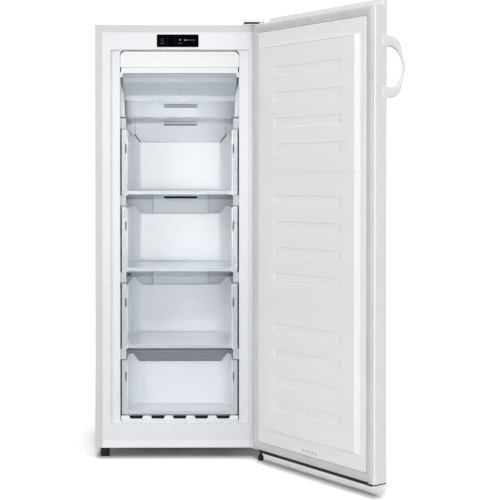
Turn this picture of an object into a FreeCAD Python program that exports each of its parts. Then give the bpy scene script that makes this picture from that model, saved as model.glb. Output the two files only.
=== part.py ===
import FreeCAD, Part

import math
import os
from FreeCAD import Vector

# Upright freezer, one right-hinged door, a flap compartment and four drawers.
# Millimetres. +X is to the right seen from the front, +Y to the back, +Z up. The origin is on the floor,
# in line with the middle of the cabinet and its front plane. The door is modelled closed and then swung open.

X_AXIS, Y_AXIS, Z_AXIS = Vector(1, 0, 0), Vector(0, 1, 0), Vector(0, 0, 1)

# ---- cabinet ----
WIDTH = 550.0
CABINET_TOP = 1416.0
BASE_HEIGHT = 38.0                # underside of the cabinet above the floor
CABINET_DEPTH = 484.0
SHEET = 0.8                       # painted steel
LINER_WALL = 1.5
FLANGE = 23.5                     # front flange of the steel panels
MITRE_GAP = 0.3
TRIM_HEIGHT = 25.0
TRIM_DEPTH = 12.0
CLEAR = 0.3                       # between pieces that only lie beside each other
RUNNING_FIT = 0.05                # radial play of a pin in its bore

SIDE_WALL = 80.6                  # insulated walls, outside to inside
FLOOR_WALL = 81.6
CEILING_WALL = 82.0
BACK_WALL = 54.0
CAVITY_CORNER = 12.0
RECESS_STEP = 31.1                # the shallow step that the door's raised panel closes into
RECESS_DEPTH = 14.0
RECESS_BELOW = 2.6
RECESS_ABOVE = 2.3
RECESS_CORNER = 8.0

MACHINE_DEPTH = 262.0
MACHINE_HEIGHT = 262.0
MACHINE_CHAMFER_RUN = 38.0
MACHINE_CHAMFER_RISE = 90.0
HUMP_WALL = 57.0                  # insulation between the machine room and the cavity
HUMP_COVER = 52.0

# ---- door ----
DOOR_THICKNESS = 50.2
DOOR_GAP = 8.1                    # from the cabinet's front plane to the door's inner face
DOOR_BOTTOM_CLEARANCE = 0.6       # above the cabinet's underside
DOOR_TOP_CLEARANCE = 3.0          # below the cabinet's top
DOOR_OPEN = 125.5                 # degrees
DOOR_EDGE_RADIUS = 6.0
DOOR_LIP = 25.0
RIDGE_HEIGHT = 19.0
RIDGE_DEPTH = 16.7
RIDGE_START = 34.0                # from the hinge-side edge
CAP_HEIGHT = 22.0
CAP_LIP = 3.4                     # dark lower edge of the bottom cap
HINGE_FROM_EDGE = 10.7
HINGE_FROM_INNER_FACE = 21.9
PIN_RADIUS = 4.0
BUSH_RADIUS = 7.0
BUSH_LENGTH = 17.0

GASKET_INSET = 5.0
GASKET_WIDTH = 25.0
GASKET_HEIGHT = 7.8
PLATE_EDGE_LOW = 33.4
PLATE_EDGE_HIGH = 31.0
PLATE_HEIGHT = 7.0
PLATE_CORNER = 4.0
PANEL_CLEARANCE = 2.7             # round the raised panel when it is in the recess
PANEL_HEIGHT = 18.0
PANEL_SIDE_BEVEL = 13.5
PANEL_END_BEVEL = 3.0
DOOR_LINER_WALL = 2.0
FIELD_PITCH = 401.7
GROOVE_BELOW_TOP = 399.8
GROOVE_WIDTH = 4.0
GROOVE_DEPTH = 3.0
RIB_BELOW_TOP = 67.0
RIB_WIDTH = 320.0
RIB_HEIGHT = 30.0
RIB_DEPTH = 2.5
RIB_END = 16.0                    # length of the soft run-out at each end
RIB_PITCH = 80.5
RIBS_PER_FIELD = 4
FIELD_COUNT = 3

# ---- handle ----
HANDLE_BELOW_LEDGE = 85.0
HANDLE_LENGTH = 180.0
HANDLE_REACH = 70.5
HANDLE_WIDTH = 22.0
HANDLE_FOOT = 19.2                # how far the feet reach back over the door's edge
HANDLE_ARM = 32.0
HANDLE_PROUD = 4.0
HANDLE_CORNER = 42.0
HANDLE_INNER_CORNER = 14.0
HANDLE_CROWN = 12.5               # the bow's middle in front of its corners
HANDLE_BOW = 7.0

# ---- inside ----
TOP_ROOM = 220.0                  # height of the flap compartment with the cover over it
DRAWER_GAP = 14.3                 # from one drawer's front to the next
DRAWER_COUNT = 3
RAIL_ABOVE_HUMP = 6.0
FRONT_SIDE_GAP = 4.6
FRONT_Y = 16.0
FRONT_THICKNESS = 3.0
SHORT_DRAWER_BELOW = 5.0
TUB_GAP = 2.25                    # between a tub and the rails beside it
TUB_REAR_GAP = 16.5
SHORT_TUB_REAR_GAP = 9.5
TUB_WALL = 2.5
TUB_CORNER = 40.0
TUB_FLOOR_RADIUS = 8.0
TUB_FLOOR_ABOVE = 11.2            # underside of the tub floor above the front's lower edge
TUB_SIDE_BELOW = 27.0
TUB_REAR_BELOW = 55.5
DIP_LOW_INSET = 35.2
DIP_HIGH_INSET = 14.0
SKID_WIDTH = 15.0
SKID_THICKNESS = 2.5
CLIP_SLOT_HEIGHT = 29.0
CLIP_SLOT_WIDTH = 2.6
CLIP_SLOT_BELOW = 71.0

RAIL_HEIGHT = 36.0
RAIL_WIDTH = 18.7
RAIL_FRONT = 24.0
SEAT = 0.05                       # rails against the liner's wall

RACK_HEIGHT = 20.2
RACK_FRONT = 14.0
RACK_BAR = 4.0
RACK_SLOTS = 5
RACK_PITCH = 71.2
RACK_SLOT_TOP = 47.0
RACK_SLOT_FLOOR = 38.0
RACK_SLOT_UP = 10.3
RACK_UNDERCUT = 9.0              # height of the rounded lower front edge

SHELF_UP = 0.3                    # glass above the rails
SHELF_THICKNESS = 4.0
SHELF_FRAME = 14.0
SHELF_STRIP_HEIGHT = 4.0

COVER_WALL = 2.5
COVER_GAP = 0.8
COVER_TOP_GAP = 2.8               # dark joint over the fascia
COVER_CORNER = 17.0
COVER_FRONT_Y = 12.0
FASCIA_HEIGHT = 51.2
LIP_HEIGHT = 19.0
LIP_Y = 18.0
LIP_INSET = 3.7
RISER_Y = 200.0
RISER_HEIGHT = 14.0
SLOPE_DROP = 33.0

FLAP_SIDE_GAP = 7.9
FLAP_TOP_GAP = 2.0
FLAP_HEIGHT = 91.0
FLAP_RIM = 17.0
FLAP_SHEET = 2.5
FLAP_PIVOT_Y = 21.0
FLAP_PIVOT_DROP = 4.5
FLAP_PIVOT_RADIUS = 3.0

EVAPORATOR_ROOM = 50.0
DUCT_PROUD = 18.0
DUCT_WIDTH = 200.0
DUCT_ABOVE_HUMP = 28.0
DUCT_BELOW_RAIL = 74.0
SLOT_WIDTH = 120.0
SLOT_HEIGHT = 4.0
RETURN_PITCH = 75.0               # air returns along the foot of the duct plate
RETURN_COUNT = 5
RETURN_HEIGHT = 16.0
OUTLET_DROPS = (33.6, 40.8)       # slots below the cover's outlet
SHELF_SLOT_DROP = 4.6             # slot below the top rails
DRAWER_SLOT_DROP = 12.5           # slot in the duct below the rails of the first drawer

FAN_ABOVE_DUCT_BOTTOM = 365.0
FAN_RADIUS = 52.0
FAN_HUB_RADIUS = 18.0
FAN_LENGTH = 22.0
FAN_BLADES = 7
FAN_MOTOR_RADIUS = 24.0
FAN_MOTOR_ARM = 70.0
SHAFT_RADIUS = 2.0

# ---- feet ----
FOOT_INSET = 28.0
LEFT_FOOT_Y = 53.0
LEFT_FOOT_RADIUS = 14.5
RIGHT_FOOT_Y = -14.0
RIGHT_FOOT_RADIUS = 9.2
RIGHT_FOOT_PAD = 15.0
RIGHT_FOOT_NECK = 6.5
RIGHT_FOOT_HEIGHT = 18.5
REAR_FOOT_INSET = 44.0
REAR_FOOT_RADIUS = 15.0
BRACKET = 3.0                     # hinge plates

# ---- derived places ----
HALF = WIDTH / 2
CAVITY_WIDTH = WIDTH - 2 * SIDE_WALL
CAVITY_HALF = CAVITY_WIDTH / 2
CAVITY_FLOOR = BASE_HEIGHT + FLOOR_WALL
CAVITY_CEILING = CABINET_TOP - CEILING_WALL
CAVITY_BACK = CABINET_DEPTH - BACK_WALL
RECESS_WIDTH = CAVITY_WIDTH + 2 * RECESS_STEP
RECESS_BOTTOM = CAVITY_FLOOR - RECESS_BELOW
RECESS_TOP = CAVITY_CEILING + RECESS_ABOVE
MACHINE_FRONT = CABINET_DEPTH - MACHINE_DEPTH
MACHINE_TOP = BASE_HEIGHT + MACHINE_HEIGHT
MACHINE_SLOPE_Y = MACHINE_FRONT + MACHINE_CHAMFER_RUN
MACHINE_SLOPE_Z = MACHINE_TOP - MACHINE_CHAMFER_RISE
HUMP_FRONT = MACHINE_FRONT - HUMP_WALL
HUMP_TOP = MACHINE_TOP + HUMP_COVER

DOOR_BOTTOM = BASE_HEIGHT + DOOR_BOTTOM_CLEARANCE
DOOR_LEDGE = CABINET_TOP - DOOR_TOP_CLEARANCE
DOOR_TOP = DOOR_LEDGE + RIDGE_HEIGHT
DOOR_INNER_Y = -DOOR_GAP
DOOR_FRONT_Y = -DOOR_GAP - DOOR_THICKNESS
HINGE_X = HALF - HINGE_FROM_EDGE
HINGE_Y = DOOR_INNER_Y - HINGE_FROM_INNER_FACE
HINGE_POINT = Vector(HINGE_X, HINGE_Y, 0)
PLATE_WIDTH = WIDTH - 2 * (GASKET_INSET + GASKET_WIDTH + CLEAR)
PLATE_BOTTOM = DOOR_BOTTOM + PLATE_EDGE_LOW
PLATE_TOP = DOOR_LEDGE - PLATE_EDGE_HIGH
PANEL_WIDTH = RECESS_WIDTH - 2 * PANEL_CLEARANCE
PANEL_BOTTOM = RECESS_BOTTOM + PANEL_CLEARANCE
PANEL_TOP = RECESS_TOP - PANEL_CLEARANCE
HANDLE_TOP = DOOR_LEDGE - HANDLE_BELOW_LEDGE
HANDLE_BOTTOM = HANDLE_TOP - HANDLE_LENGTH

DUCT_PLATE_Y = CAVITY_BACK - EVAPORATOR_ROOM
DUCT_FACE_Y = DUCT_PLATE_Y - DUCT_PROUD
DUCT_BOTTOM = HUMP_TOP + DUCT_ABOVE_HUMP
FAN_Z = DUCT_BOTTOM + FAN_ABOVE_DUCT_BOTTOM
RAIL_BASE = HUMP_TOP + RAIL_ABOVE_HUMP
RAIL_TOP = CAVITY_CEILING - TOP_ROOM
DRAWER_PITCH = (RAIL_TOP - RAIL_BASE) / DRAWER_COUNT
DRAWER_HEIGHT = DRAWER_PITCH - DRAWER_GAP
DUCT_TOP = RAIL_TOP - DUCT_BELOW_RAIL
RACK_TOP = CAVITY_FLOOR + RACK_HEIGHT
TUB_BACK = DUCT_FACE_Y - TUB_REAR_GAP
SHORT_TUB_BACK = HUMP_FRONT - SHORT_TUB_REAR_GAP
TUB_WIDTH = CAVITY_WIDTH - 2 * (SEAT + RAIL_WIDTH + TUB_GAP)
FRONT_WIDTH = CAVITY_WIDTH - 2 * FRONT_SIDE_GAP
COVER_TOP = CAVITY_CEILING - COVER_TOP_GAP
COVER_HALF = CAVITY_HALF - COVER_GAP
FASCIA_BOTTOM = COVER_TOP - FASCIA_HEIGHT
LIP_BOTTOM = FASCIA_BOTTOM - LIP_HEIGHT
RISER_Z = LIP_BOTTOM - RISER_HEIGHT
SLOPE_END_Z = RISER_Z - SLOPE_DROP
FLAP_WIDTH = CAVITY_WIDTH - 2 * FLAP_SIDE_GAP
FLAP_TOP = LIP_BOTTOM - FLAP_TOP_GAP
FLAP_BOTTOM = FLAP_TOP - FLAP_HEIGHT
FLAP_PIVOT_Z = FLAP_TOP - FLAP_PIVOT_DROP


# ---- shape helpers ----
def box(x0, x1, y0, y1, z0, z1):
    return Part.makeBox(x1 - x0, y1 - y0, z1 - z0, Vector(x0, y0, z0))


def wide_box(width, y0, y1, z0, z1):
    """A box centred on X."""
    return box(-width / 2, width / 2, y0, y1, z0, z1)


def cylinder(radius, start, direction, length):
    return Part.makeCylinder(radius, length, Vector(*start), direction)


def both_sides(shape):
    """The shape and its mirror image across the middle of the cabinet."""
    return [shape, shape.mirror(Vector(0, 0, 0), X_AXIS)]


def edges_along(shape, axis, test=lambda middle: True):
    """Straight edges parallel to an axis whose middle passes the test."""
    found = []
    for edge in shape.Edges:
        if not isinstance(edge.Curve, Part.Line):
            continue
        run = edge.Vertexes[-1].Point - edge.Vertexes[0].Point
        middle = (edge.Vertexes[-1].Point + edge.Vertexes[0].Point) * 0.5
        if abs(run.normalize().dot(axis)) > 0.999 and test(middle):
            found.append(edge)
    return found


def rounded(shape, radius, axis, test=lambda middle: True):
    return shape.makeFillet(radius, edges_along(shape, axis, test))


def slot_y(width, height, x, z, y0, y1):
    """A round-ended slot cutter that runs along Y, lying along X."""
    body = box(x - width / 2 + height / 2, x + width / 2 - height / 2, y0, y1, z - height / 2, z + height / 2)
    ends = [
        cylinder(height / 2, (x + side * (width - height) / 2, y0, z), Y_AXIS, y1 - y0)
        for side in (-1, 1)
    ]
    return body.fuse(ends).removeSplitter()


def offset_line(points, distance):
    """The open polyline moved sideways to its left, with mitred corners."""
    normals = []
    for (y0, z0), (y1, z1) in zip(points, points[1:]):
        length = math.hypot(y1 - y0, z1 - z0)
        normals.append((-(z1 - z0) / length, (y1 - y0) / length))
    moved = []
    for index, (y, z) in enumerate(points):
        before = normals[max(index - 1, 0)]
        after = normals[min(index, len(normals) - 1)]
        scale = distance / (1 + before[0] * after[0] + before[1] * after[1])
        moved.append((y + (before[0] + after[0]) * scale, z + (before[1] + after[1]) * scale))
    return moved


def bent_sheet(points, thickness, x0, x1):
    """A sheet bent along a (Y, Z) polyline, thick to its left, that spans x0 to x1."""
    outline = list(points) + offset_line(points, thickness)[::-1]
    return prism_x(outline, x0, x1)


def prism_x(outline, x0, x1):
    corners = [Vector(x0, y, z) for y, z in outline]
    return Part.Face(Part.makePolygon(corners + corners[:1])).extrude(Vector(x1 - x0, 0, 0))


def prism_y(outline, y0, y1):
    corners = [Vector(x, y0, z) for x, z in outline]
    return Part.Face(Part.makePolygon(corners + corners[:1])).extrude(Vector(0, y1 - y0, 0))


def tube(points, radius, bend):
    """A round tube along straight runs joined by tangent arcs."""
    corners = [Vector(*point) for point in points]
    edges = []
    start = corners[0]
    for before, corner, after in zip(corners, corners[1:], corners[2:]):
        back, ahead = (before - corner).normalize(), (after - corner).normalize()
        half_turn = math.acos(max(-1.0, min(1.0, back.dot(ahead)))) / 2
        reach = bend / math.tan(half_turn)
        enter, leave = corner + back * reach, corner + ahead * reach
        middle_way = (back + ahead).normalize()
        middle = corner + middle_way * (bend / math.sin(half_turn) - bend)
        if (enter - start).Length > 1e-6:
            edges.append(Part.LineSegment(start, enter).toShape())
        edges.append(Part.Arc(enter, middle, leave).toShape())
        start = leave
    edges.append(Part.LineSegment(start, corners[-1]).toShape())
    path = Part.Wire(edges)
    section = Part.Wire(Part.makeCircle(radius, corners[0], corners[1] - corners[0]))
    return path.makePipeShell([section], True, True)


def rectangle(half_width, y, z0, z1):
    corners = [Vector(-half_width, y, z0), Vector(half_width, y, z0), Vector(half_width, y, z1),
               Vector(-half_width, y, z1)]
    return Part.makePolygon(corners + corners[:1])


def frustum(half0, y0, bottom0, top0, half1, y1, bottom1, top1):
    """A solid between two upright rectangles at y0 and y1."""
    return Part.makeLoft([rectangle(half0, y0, bottom0, top0), rectangle(half1, y1, bottom1, top1)], True, True)


def mitred_ring(profile, half_width, bottom, top, base_y):
    """A closed frame with mitred corners. The profile is a list of (inset, height) points."""
    faces = []
    for (inset0, height0), (inset1, height1) in zip(profile, profile[1:] + profile[:1]):
        loop0 = ring_corners(half_width - inset0, bottom + inset0, top - inset0, base_y + height0)
        loop1 = ring_corners(half_width - inset1, bottom + inset1, top - inset1, base_y + height1)
        for side in range(4):
            quad = [loop0[side], loop0[(side + 1) % 4], loop1[(side + 1) % 4], loop1[side]]
            faces.append(Part.Face(Part.makePolygon(quad + quad[:1])))
    solid = Part.Solid(Part.Shell(faces))
    if solid.Volume < 0:
        solid.reverse()
    return solid


def ring_corners(half, bottom, top, y):
    return [Vector(-half, y, bottom), Vector(half, y, bottom), Vector(half, y, top), Vector(-half, y, top)]


# ---- cabinet: steel panels ----
def side_panel():
    """The right side panel with its front flange, mitred at the top."""
    panel = box(HALF - SHEET, HALF, 0, CABINET_DEPTH, BASE_HEIGHT, CABINET_TOP)
    flange = box(HALF - FLANGE, HALF, 0, SHEET, BASE_HEIGHT, CABINET_TOP)
    solid = panel.fuse(flange).removeSplitter()
    solid = rounded(solid, SHEET, Z_AXIS, lambda m: m.x > HALF - 0.01 and m.y < 0.01)
    mitre = [(HALF + 1, CABINET_TOP + 1), (HALF - FLANGE - 1, CABINET_TOP + 1), (HALF - FLANGE - 1, CABINET_TOP - FLANGE - 1)]
    solid = solid.cut(prism_y(mitre, -1, SHEET + CLEAR))
    return solid.cut(box(HALF - SHEET - 1, HALF + 1, SHEET, CABINET_DEPTH + 1, CABINET_TOP - SHEET, CABINET_TOP + 1))


def top_panel():
    inner = HALF
    sheet = box(-inner, inner, SHEET, CABINET_DEPTH, CABINET_TOP - SHEET, CABINET_TOP)
    gap = MITRE_GAP * math.sqrt(2)
    flange = prism_y([(-HALF + gap, CABINET_TOP), (HALF - gap, CABINET_TOP),
                      (HALF - FLANGE - gap, CABINET_TOP - FLANGE), (-HALF + FLANGE + gap, CABINET_TOP - FLANGE)], 0, SHEET)
    return sheet.fuse(flange).removeSplitter()


def back_panel():
    return box(-HALF + SHEET, HALF - SHEET, CABINET_DEPTH - SHEET, CABINET_DEPTH,
               MACHINE_TOP, CABINET_TOP - SHEET)


def machine_line():
    """The (Y, Z) line of the cabinet's underside, up over the machine room to the back."""
    return [(TRIM_DEPTH, BASE_HEIGHT), (MACHINE_FRONT, BASE_HEIGHT), (MACHINE_FRONT, MACHINE_SLOPE_Z),
            (MACHINE_SLOPE_Y, MACHINE_TOP), (CABINET_DEPTH - SHEET, MACHINE_TOP)]


def bottom_panel():
    sheet = bent_sheet(machine_line(), SHEET, -HALF + SHEET, HALF - SHEET)
    stud_hole = cylinder(PIN_RADIUS + RUNNING_FIT, (LEFT_FOOT_X, LEFT_FOOT_Y, 0), Z_AXIS, BASE_HEIGHT + STUD_UP)
    return sheet.cut([stud_hole, drain_hole(DRAIN_RADIUS + CLEAR)])


def bottom_trim():
    half = HALF - FLANGE
    trim = box(-half, HALF - FLANGE, 0, TRIM_DEPTH, BASE_HEIGHT, BASE_HEIGHT + TRIM_HEIGHT - CLEAR)
    return rounded(trim, 1.0, X_AXIS, lambda m: m.y < 0.01)


# ---- cabinet: liner and foam ----
def cavity(grow, soft=True):
    """The inside space of the cabinet, grown outwards by a wall thickness."""
    half = CAVITY_HALF + grow
    room = box(-half, half, -1, CAVITY_BACK + grow, CAVITY_FLOOR - grow, CAVITY_CEILING + grow)
    if soft:
        room = rounded(room, CAVITY_CORNER + grow, Y_AXIS)
    hump = box(-HALF, HALF, HUMP_FRONT + grow, CABINET_DEPTH, 0, HUMP_TOP - grow)
    recess = wide_box(RECESS_WIDTH + 2 * grow, -1, RECESS_DEPTH + grow, RECESS_BOTTOM - grow, RECESS_TOP + grow)
    if soft:
        recess = rounded(recess, RECESS_CORNER + grow, Y_AXIS)
    return room.cut(hump).fuse(recess).removeSplitter()


def inner_liner():
    bottom = BASE_HEIGHT + TRIM_HEIGHT
    flange = wide_box(WIDTH - 4 * SHEET, SHEET, SHEET + LINER_WALL, bottom, CABINET_TOP - 2 * SHEET)
    shell = cavity(LINER_WALL).common(box(-HALF, HALF, SHEET, CABINET_DEPTH, 0, CABINET_TOP))
    liner = shell.fuse(flange).cut(cavity(0))
    return liner.cut(control_pocket(CLEAR)).cut(drain_hole(DRAIN_RADIUS + CLEAR)).removeSplitter()


CONDENSER_RADIUS = 2.4
CONDENSER_PITCH = 70.0
CONDENSER_PASSES = 6
CONDENSER_MARGIN = 70.0
CONDENSER_LAYER = 2 * CONDENSER_RADIUS + 0.2   # space that the condenser tubes take inside the side panels


def cabinet_foam():
    """Rigid foam between panels and liner, as blocks that meet face to face, one for each wall."""
    side = HALF - SHEET - CONDENSER_LAYER
    underside = offset_line(machine_line(), SHEET)
    front = SHEET + LINER_WALL
    step = [(TRIM_DEPTH, BASE_HEIGHT + TRIM_HEIGHT), (front, BASE_HEIGHT + TRIM_HEIGHT), (front, CABINET_TOP - SHEET),
            (CABINET_DEPTH - SHEET, CABINET_TOP - SHEET)]
    foam = prism_x(underside + step[::-1], -side, side)
    foam = foam.cut(cavity(LINER_WALL, False))
    stud_pocket = cylinder(PIN_RADIUS + 2, (LEFT_FOOT_X, LEFT_FOOT_Y, BASE_HEIGHT), Z_AXIS, STUD_UP + 2)
    foam = foam.cut([control_pocket(CLEAR), stud_pocket, drain_hole(DRAIN_RADIUS + CLEAR)])

    inner, outer = CAVITY_HALF + LINER_WALL, RECESS_WIDTH / 2 + LINER_WALL
    recess_y = RECESS_DEPTH + LINER_WALL
    hump_y, back_y = HUMP_FRONT + LINER_WALL, CAVITY_BACK + LINER_WALL
    floor, belt = CAVITY_FLOOR - LINER_WALL, MACHINE_TOP + SHEET
    hump_z, ceiling = HUMP_TOP - LINER_WALL, CAVITY_CEILING + LINER_WALL
    end = CABINET_DEPTH
    regions = [box(-side, side, 0, end, ceiling, CABINET_TOP), box(-side, side, 0, end, 0, floor),
               box(-inner, inner, back_y, end, hump_z, ceiling), box(-inner, inner, hump_y, end, belt, hump_z),
               box(-inner, inner, hump_y, end, floor, belt)]
    for x0, x1, strip0, strip1 in ((-side, -inner, -side, -outer), (inner, side, outer, side)):
        regions += [box(strip0, strip1, 0, recess_y, floor, ceiling), box(x0, x1, recess_y, end, floor, belt),
                    box(x0, x1, recess_y, end, belt, ceiling)]
    return Part.makeCompound([solid for region in regions for solid in foam.common(region).Solids])


# ---- control panel in the front frame ----
CONTROL_X = -6.0
CONTROL_WIDTH = 136.0
CONTROL_BOTTOM = RECESS_TOP + 7.7
CONTROL_HEIGHT = 41.0
CONTROL_PROUD = 0.4
CONTROL_DEPTH = 34.0


def control_outline(grow, y0, y1, radius):
    plate = box(CONTROL_X - CONTROL_WIDTH / 2 - grow, CONTROL_X + CONTROL_WIDTH / 2 + grow, y0, y1,
                CONTROL_BOTTOM - grow, CONTROL_BOTTOM + CONTROL_HEIGHT + grow)
    return rounded(plate, radius, Y_AXIS)


def control_panel():
    return control_outline(0, -CONTROL_PROUD, SHEET, 4.0)


def control_pocket(clear):
    return control_outline(clear - 4.0, SHEET - CLEAR, CONTROL_DEPTH + clear, 2.0)


def control_board():
    """Housing behind the panel, with the board's edge connector at its back."""
    housing = control_outline(-4.0, SHEET, CONTROL_DEPTH, 2.0)
    hollow = control_outline(-6.0, SHEET + 6, CONTROL_DEPTH - 2, 1.0)
    return housing.cut(hollow)


# ---- pieces inside the cavity ----
def top_cover():
    """Moulded housing under the ceiling: fascia, lip, flat underside and the sloped air outlet."""
    line = [(DUCT_PLATE_Y + COVER_WALL, SLOPE_END_Z), (RISER_Y, RISER_Z), (RISER_Y, LIP_BOTTOM), (LIP_Y, LIP_BOTTOM),
            (LIP_Y, FASCIA_BOTTOM), (COVER_FRONT_Y, FASCIA_BOTTOM), (COVER_FRONT_Y, COVER_TOP)]
    cover = bent_sheet(line[::-1], COVER_WALL, -COVER_HALF, COVER_HALF)
    lip_half = CAVITY_HALF - LIP_INSET
    notch = box(lip_half, COVER_HALF + 1, LIP_Y - 1, LIP_Y + 14, LIP_BOTTOM - 1, FASCIA_BOTTOM)
    cover = cover.cut(both_sides(notch))
    mouth = box(-COVER_HALF, COVER_HALF, 0, CAVITY_BACK, HUMP_TOP, COVER_TOP)
    mouth = rounded(mouth, COVER_CORNER, Y_AXIS, lambda m: m.z > COVER_TOP - 1)
    cover = cover.common(mouth)
    slot_at = (RISER_Y + DUCT_PLATE_Y) / 2
    cover = cover.cut(box(-SLOT_WIDTH / 2, SLOT_WIDTH / 2, slot_at, slot_at + 10, SLOPE_END_Z, RISER_Z))
    ear = box(FLAP_WIDTH / 2 + CLEAR, COVER_HALF, FLAP_PIVOT_Y - 6, FLAP_PIVOT_Y + 9,
              FLAP_PIVOT_Z - 7, LIP_BOTTOM + COVER_WALL)
    cover = cover.fuse(both_sides(ear))
    pivot = cylinder(FLAP_PIVOT_RADIUS + RUNNING_FIT, (-COVER_HALF, FLAP_PIVOT_Y, FLAP_PIVOT_Z), X_AXIS, 2 * COVER_HALF)
    return cover.cut(pivot).removeSplitter()


def back_duct_cover():
    """Cover of the evaporator room: a plate with a raised middle duct and round-ended air slots."""
    half = CAVITY_HALF - CLEAR
    plate = box(-half, half, DUCT_PLATE_Y, DUCT_PLATE_Y + COVER_WALL, HUMP_TOP, SLOPE_END_Z - CLEAR)
    duct = wide_box(DUCT_WIDTH, DUCT_FACE_Y, DUCT_PLATE_Y + 1, DUCT_BOTTOM, DUCT_TOP)
    duct = rounded(duct, 6.0, X_AXIS, lambda m: m.y < DUCT_FACE_Y + 1)
    duct = rounded(duct, 4.0, Z_AXIS, lambda m: m.y < DUCT_FACE_Y + 1)
    hollow = wide_box(DUCT_WIDTH - 2 * COVER_WALL, DUCT_FACE_Y + COVER_WALL, DUCT_PLATE_Y + COVER_WALL + 1,
                      DUCT_BOTTOM + COVER_WALL, DUCT_TOP - COVER_WALL)
    cover = plate.fuse(duct).cut(hollow)
    heights = [(SLOPE_END_Z - drop, SLOT_HEIGHT) for drop in OUTLET_DROPS]
    heights.append((RAIL_TOP - SHELF_SLOT_DROP, 1.6 * SLOT_HEIGHT))
    heights.append((RAIL_TOP - DRAWER_PITCH - DRAWER_SLOT_DROP, 2 * SLOT_HEIGHT))
    slots = [slot_y(SLOT_WIDTH, height, 0, z, DUCT_FACE_Y - 1, DUCT_PLATE_Y + 5) for z, height in heights]
    returns = []
    for index in range(RETURN_COUNT):
        x = (index - (RETURN_COUNT - 1) / 2) * RETURN_PITCH
        returns.append(box(x - RETURN_PITCH / 3, x + RETURN_PITCH / 3, DUCT_PLATE_Y - 1, DUCT_PLATE_Y + 5,
                           HUMP_TOP - 1, HUMP_TOP + RETURN_HEIGHT))
    return cover.cut(slots + returns).removeSplitter()


def flap_shelf():
    """Glass shelf that is the floor of the flap compartment."""
    bottom = RAIL_TOP + SHELF_UP
    half = CAVITY_HALF - 4
    return box(-half, half, RAIL_FRONT + CLEAR, DUCT_PLATE_Y - CLEAR, bottom, bottom + SHELF_THICKNESS)


def shelf_trim():
    """Plastic strips that hold the glass down along both walls."""
    glass_top = RAIL_TOP + SHELF_UP + SHELF_THICKNESS
    half = CAVITY_HALF - 4
    strip = box(half - SHELF_FRAME, half, RAIL_FRONT + CLEAR, DUCT_PLATE_Y - CLEAR,
                glass_top + SEAT, glass_top + SHELF_STRIP_HEIGHT)
    strip = rounded(strip, 1.5, Y_AXIS, lambda m: m.z > glass_top + 1)
    return Part.makeCompound(both_sides(strip))


def drawer_rails():
    """Four pairs of rails. Each carries the piece above it and guides the drawer below it."""
    rails = []
    hump = box(-HALF, HALF, HUMP_FRONT - CLEAR, CABINET_DEPTH, 0, HUMP_TOP + 0.05)
    for level in range(DRAWER_COUNT + 1):
        top = RAIL_BASE + level * DRAWER_PITCH
        outer = CAVITY_HALF - SEAT
        inner = outer - RAIL_WIDTH
        rail = box(inner, outer, RAIL_FRONT, DUCT_FACE_Y, top - RAIL_HEIGHT, top)
        rail = rounded(rail, 5.0, X_AXIS, lambda m: m.y < RAIL_FRONT + 1 and m.z < top - 1)
        channel = box(inner - 1, outer - 4, RAIL_FRONT + 12, DUCT_FACE_Y + 1, top - RAIL_HEIGHT + 4, top - 4)
        rail = rail.cut(channel)
        if top - RAIL_HEIGHT < HUMP_TOP:
            rail = rail.cut(hump)
        rails += both_sides(rail)
    return Part.makeCompound(rails)


def bottom_rack():
    """White slotted rack at the cavity floor. Its ribs carry the short drawer."""
    half = CAVITY_HALF - 3
    floor = CAVITY_FLOOR + CLEAR
    depth = HUMP_FRONT - 6
    base = box(-half, half, RACK_FRONT, depth, floor, floor + 2)
    rear = RACK_FRONT + RACK_BAR
    bar = prism_x([(rear + 4, floor), (RACK_FRONT + 3, floor + 0.2 * RACK_UNDERCUT),
                   (RACK_FRONT + 1, floor + 0.5 * RACK_UNDERCUT), (RACK_FRONT, floor + RACK_UNDERCUT),
                   (RACK_FRONT, RACK_TOP), (rear, RACK_TOP), (rear, floor + 6), (rear + 4, floor + 2)], -half, half)
    notches = []
    for index in range(RACK_SLOTS):
        x = (index - (RACK_SLOTS - 1) / 2) * RACK_PITCH
        low = CAVITY_FLOOR + RACK_SLOT_UP
        notches.append(prism_y([(x - RACK_SLOT_FLOOR / 2, low), (x + RACK_SLOT_FLOOR / 2, low),
                                (x + RACK_SLOT_TOP / 2, RACK_TOP + 1), (x - RACK_SLOT_TOP / 2, RACK_TOP + 1)],
                               RACK_FRONT - 1, RACK_FRONT + RACK_BAR + 1))
    bar = bar.cut(notches)
    bar = rounded(bar, 2.0, X_AXIS, lambda m: m.y < RACK_FRONT + 0.1 and m.z > RACK_TOP - 0.1)
    ribs = []
    for index in range(RACK_SLOTS + 1):
        x = (index - RACK_SLOTS / 2) * RACK_PITCH
        ribs.append(box(x - 2, x + 2, RACK_FRONT + 3, depth, floor, RACK_TOP))
    rack = base.fuse([bar] + ribs).removeSplitter()
    return rack.common(rounded(box(-half, half, 0, depth, floor, RACK_TOP + 5), CAVITY_CORNER - 3, Y_AXIS,
                               lambda m: m.z < floor + 1))


# ---- drawers ----
def tub_form(half, front, back, bottom, top, corner, floor_radius):
    form = box(-half, half, front, back, bottom, top)
    form = rounded(form, corner, Z_AXIS, lambda m: m.y > back - 1)
    low = [e for e in form.Edges if all(abs(v.Z - bottom) < 0.01 for v in e.Vertexes)
           and not all(abs(v.Y - front) < 0.01 for v in e.Vertexes)]
    return form.makeFillet(floor_radius, low)


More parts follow.
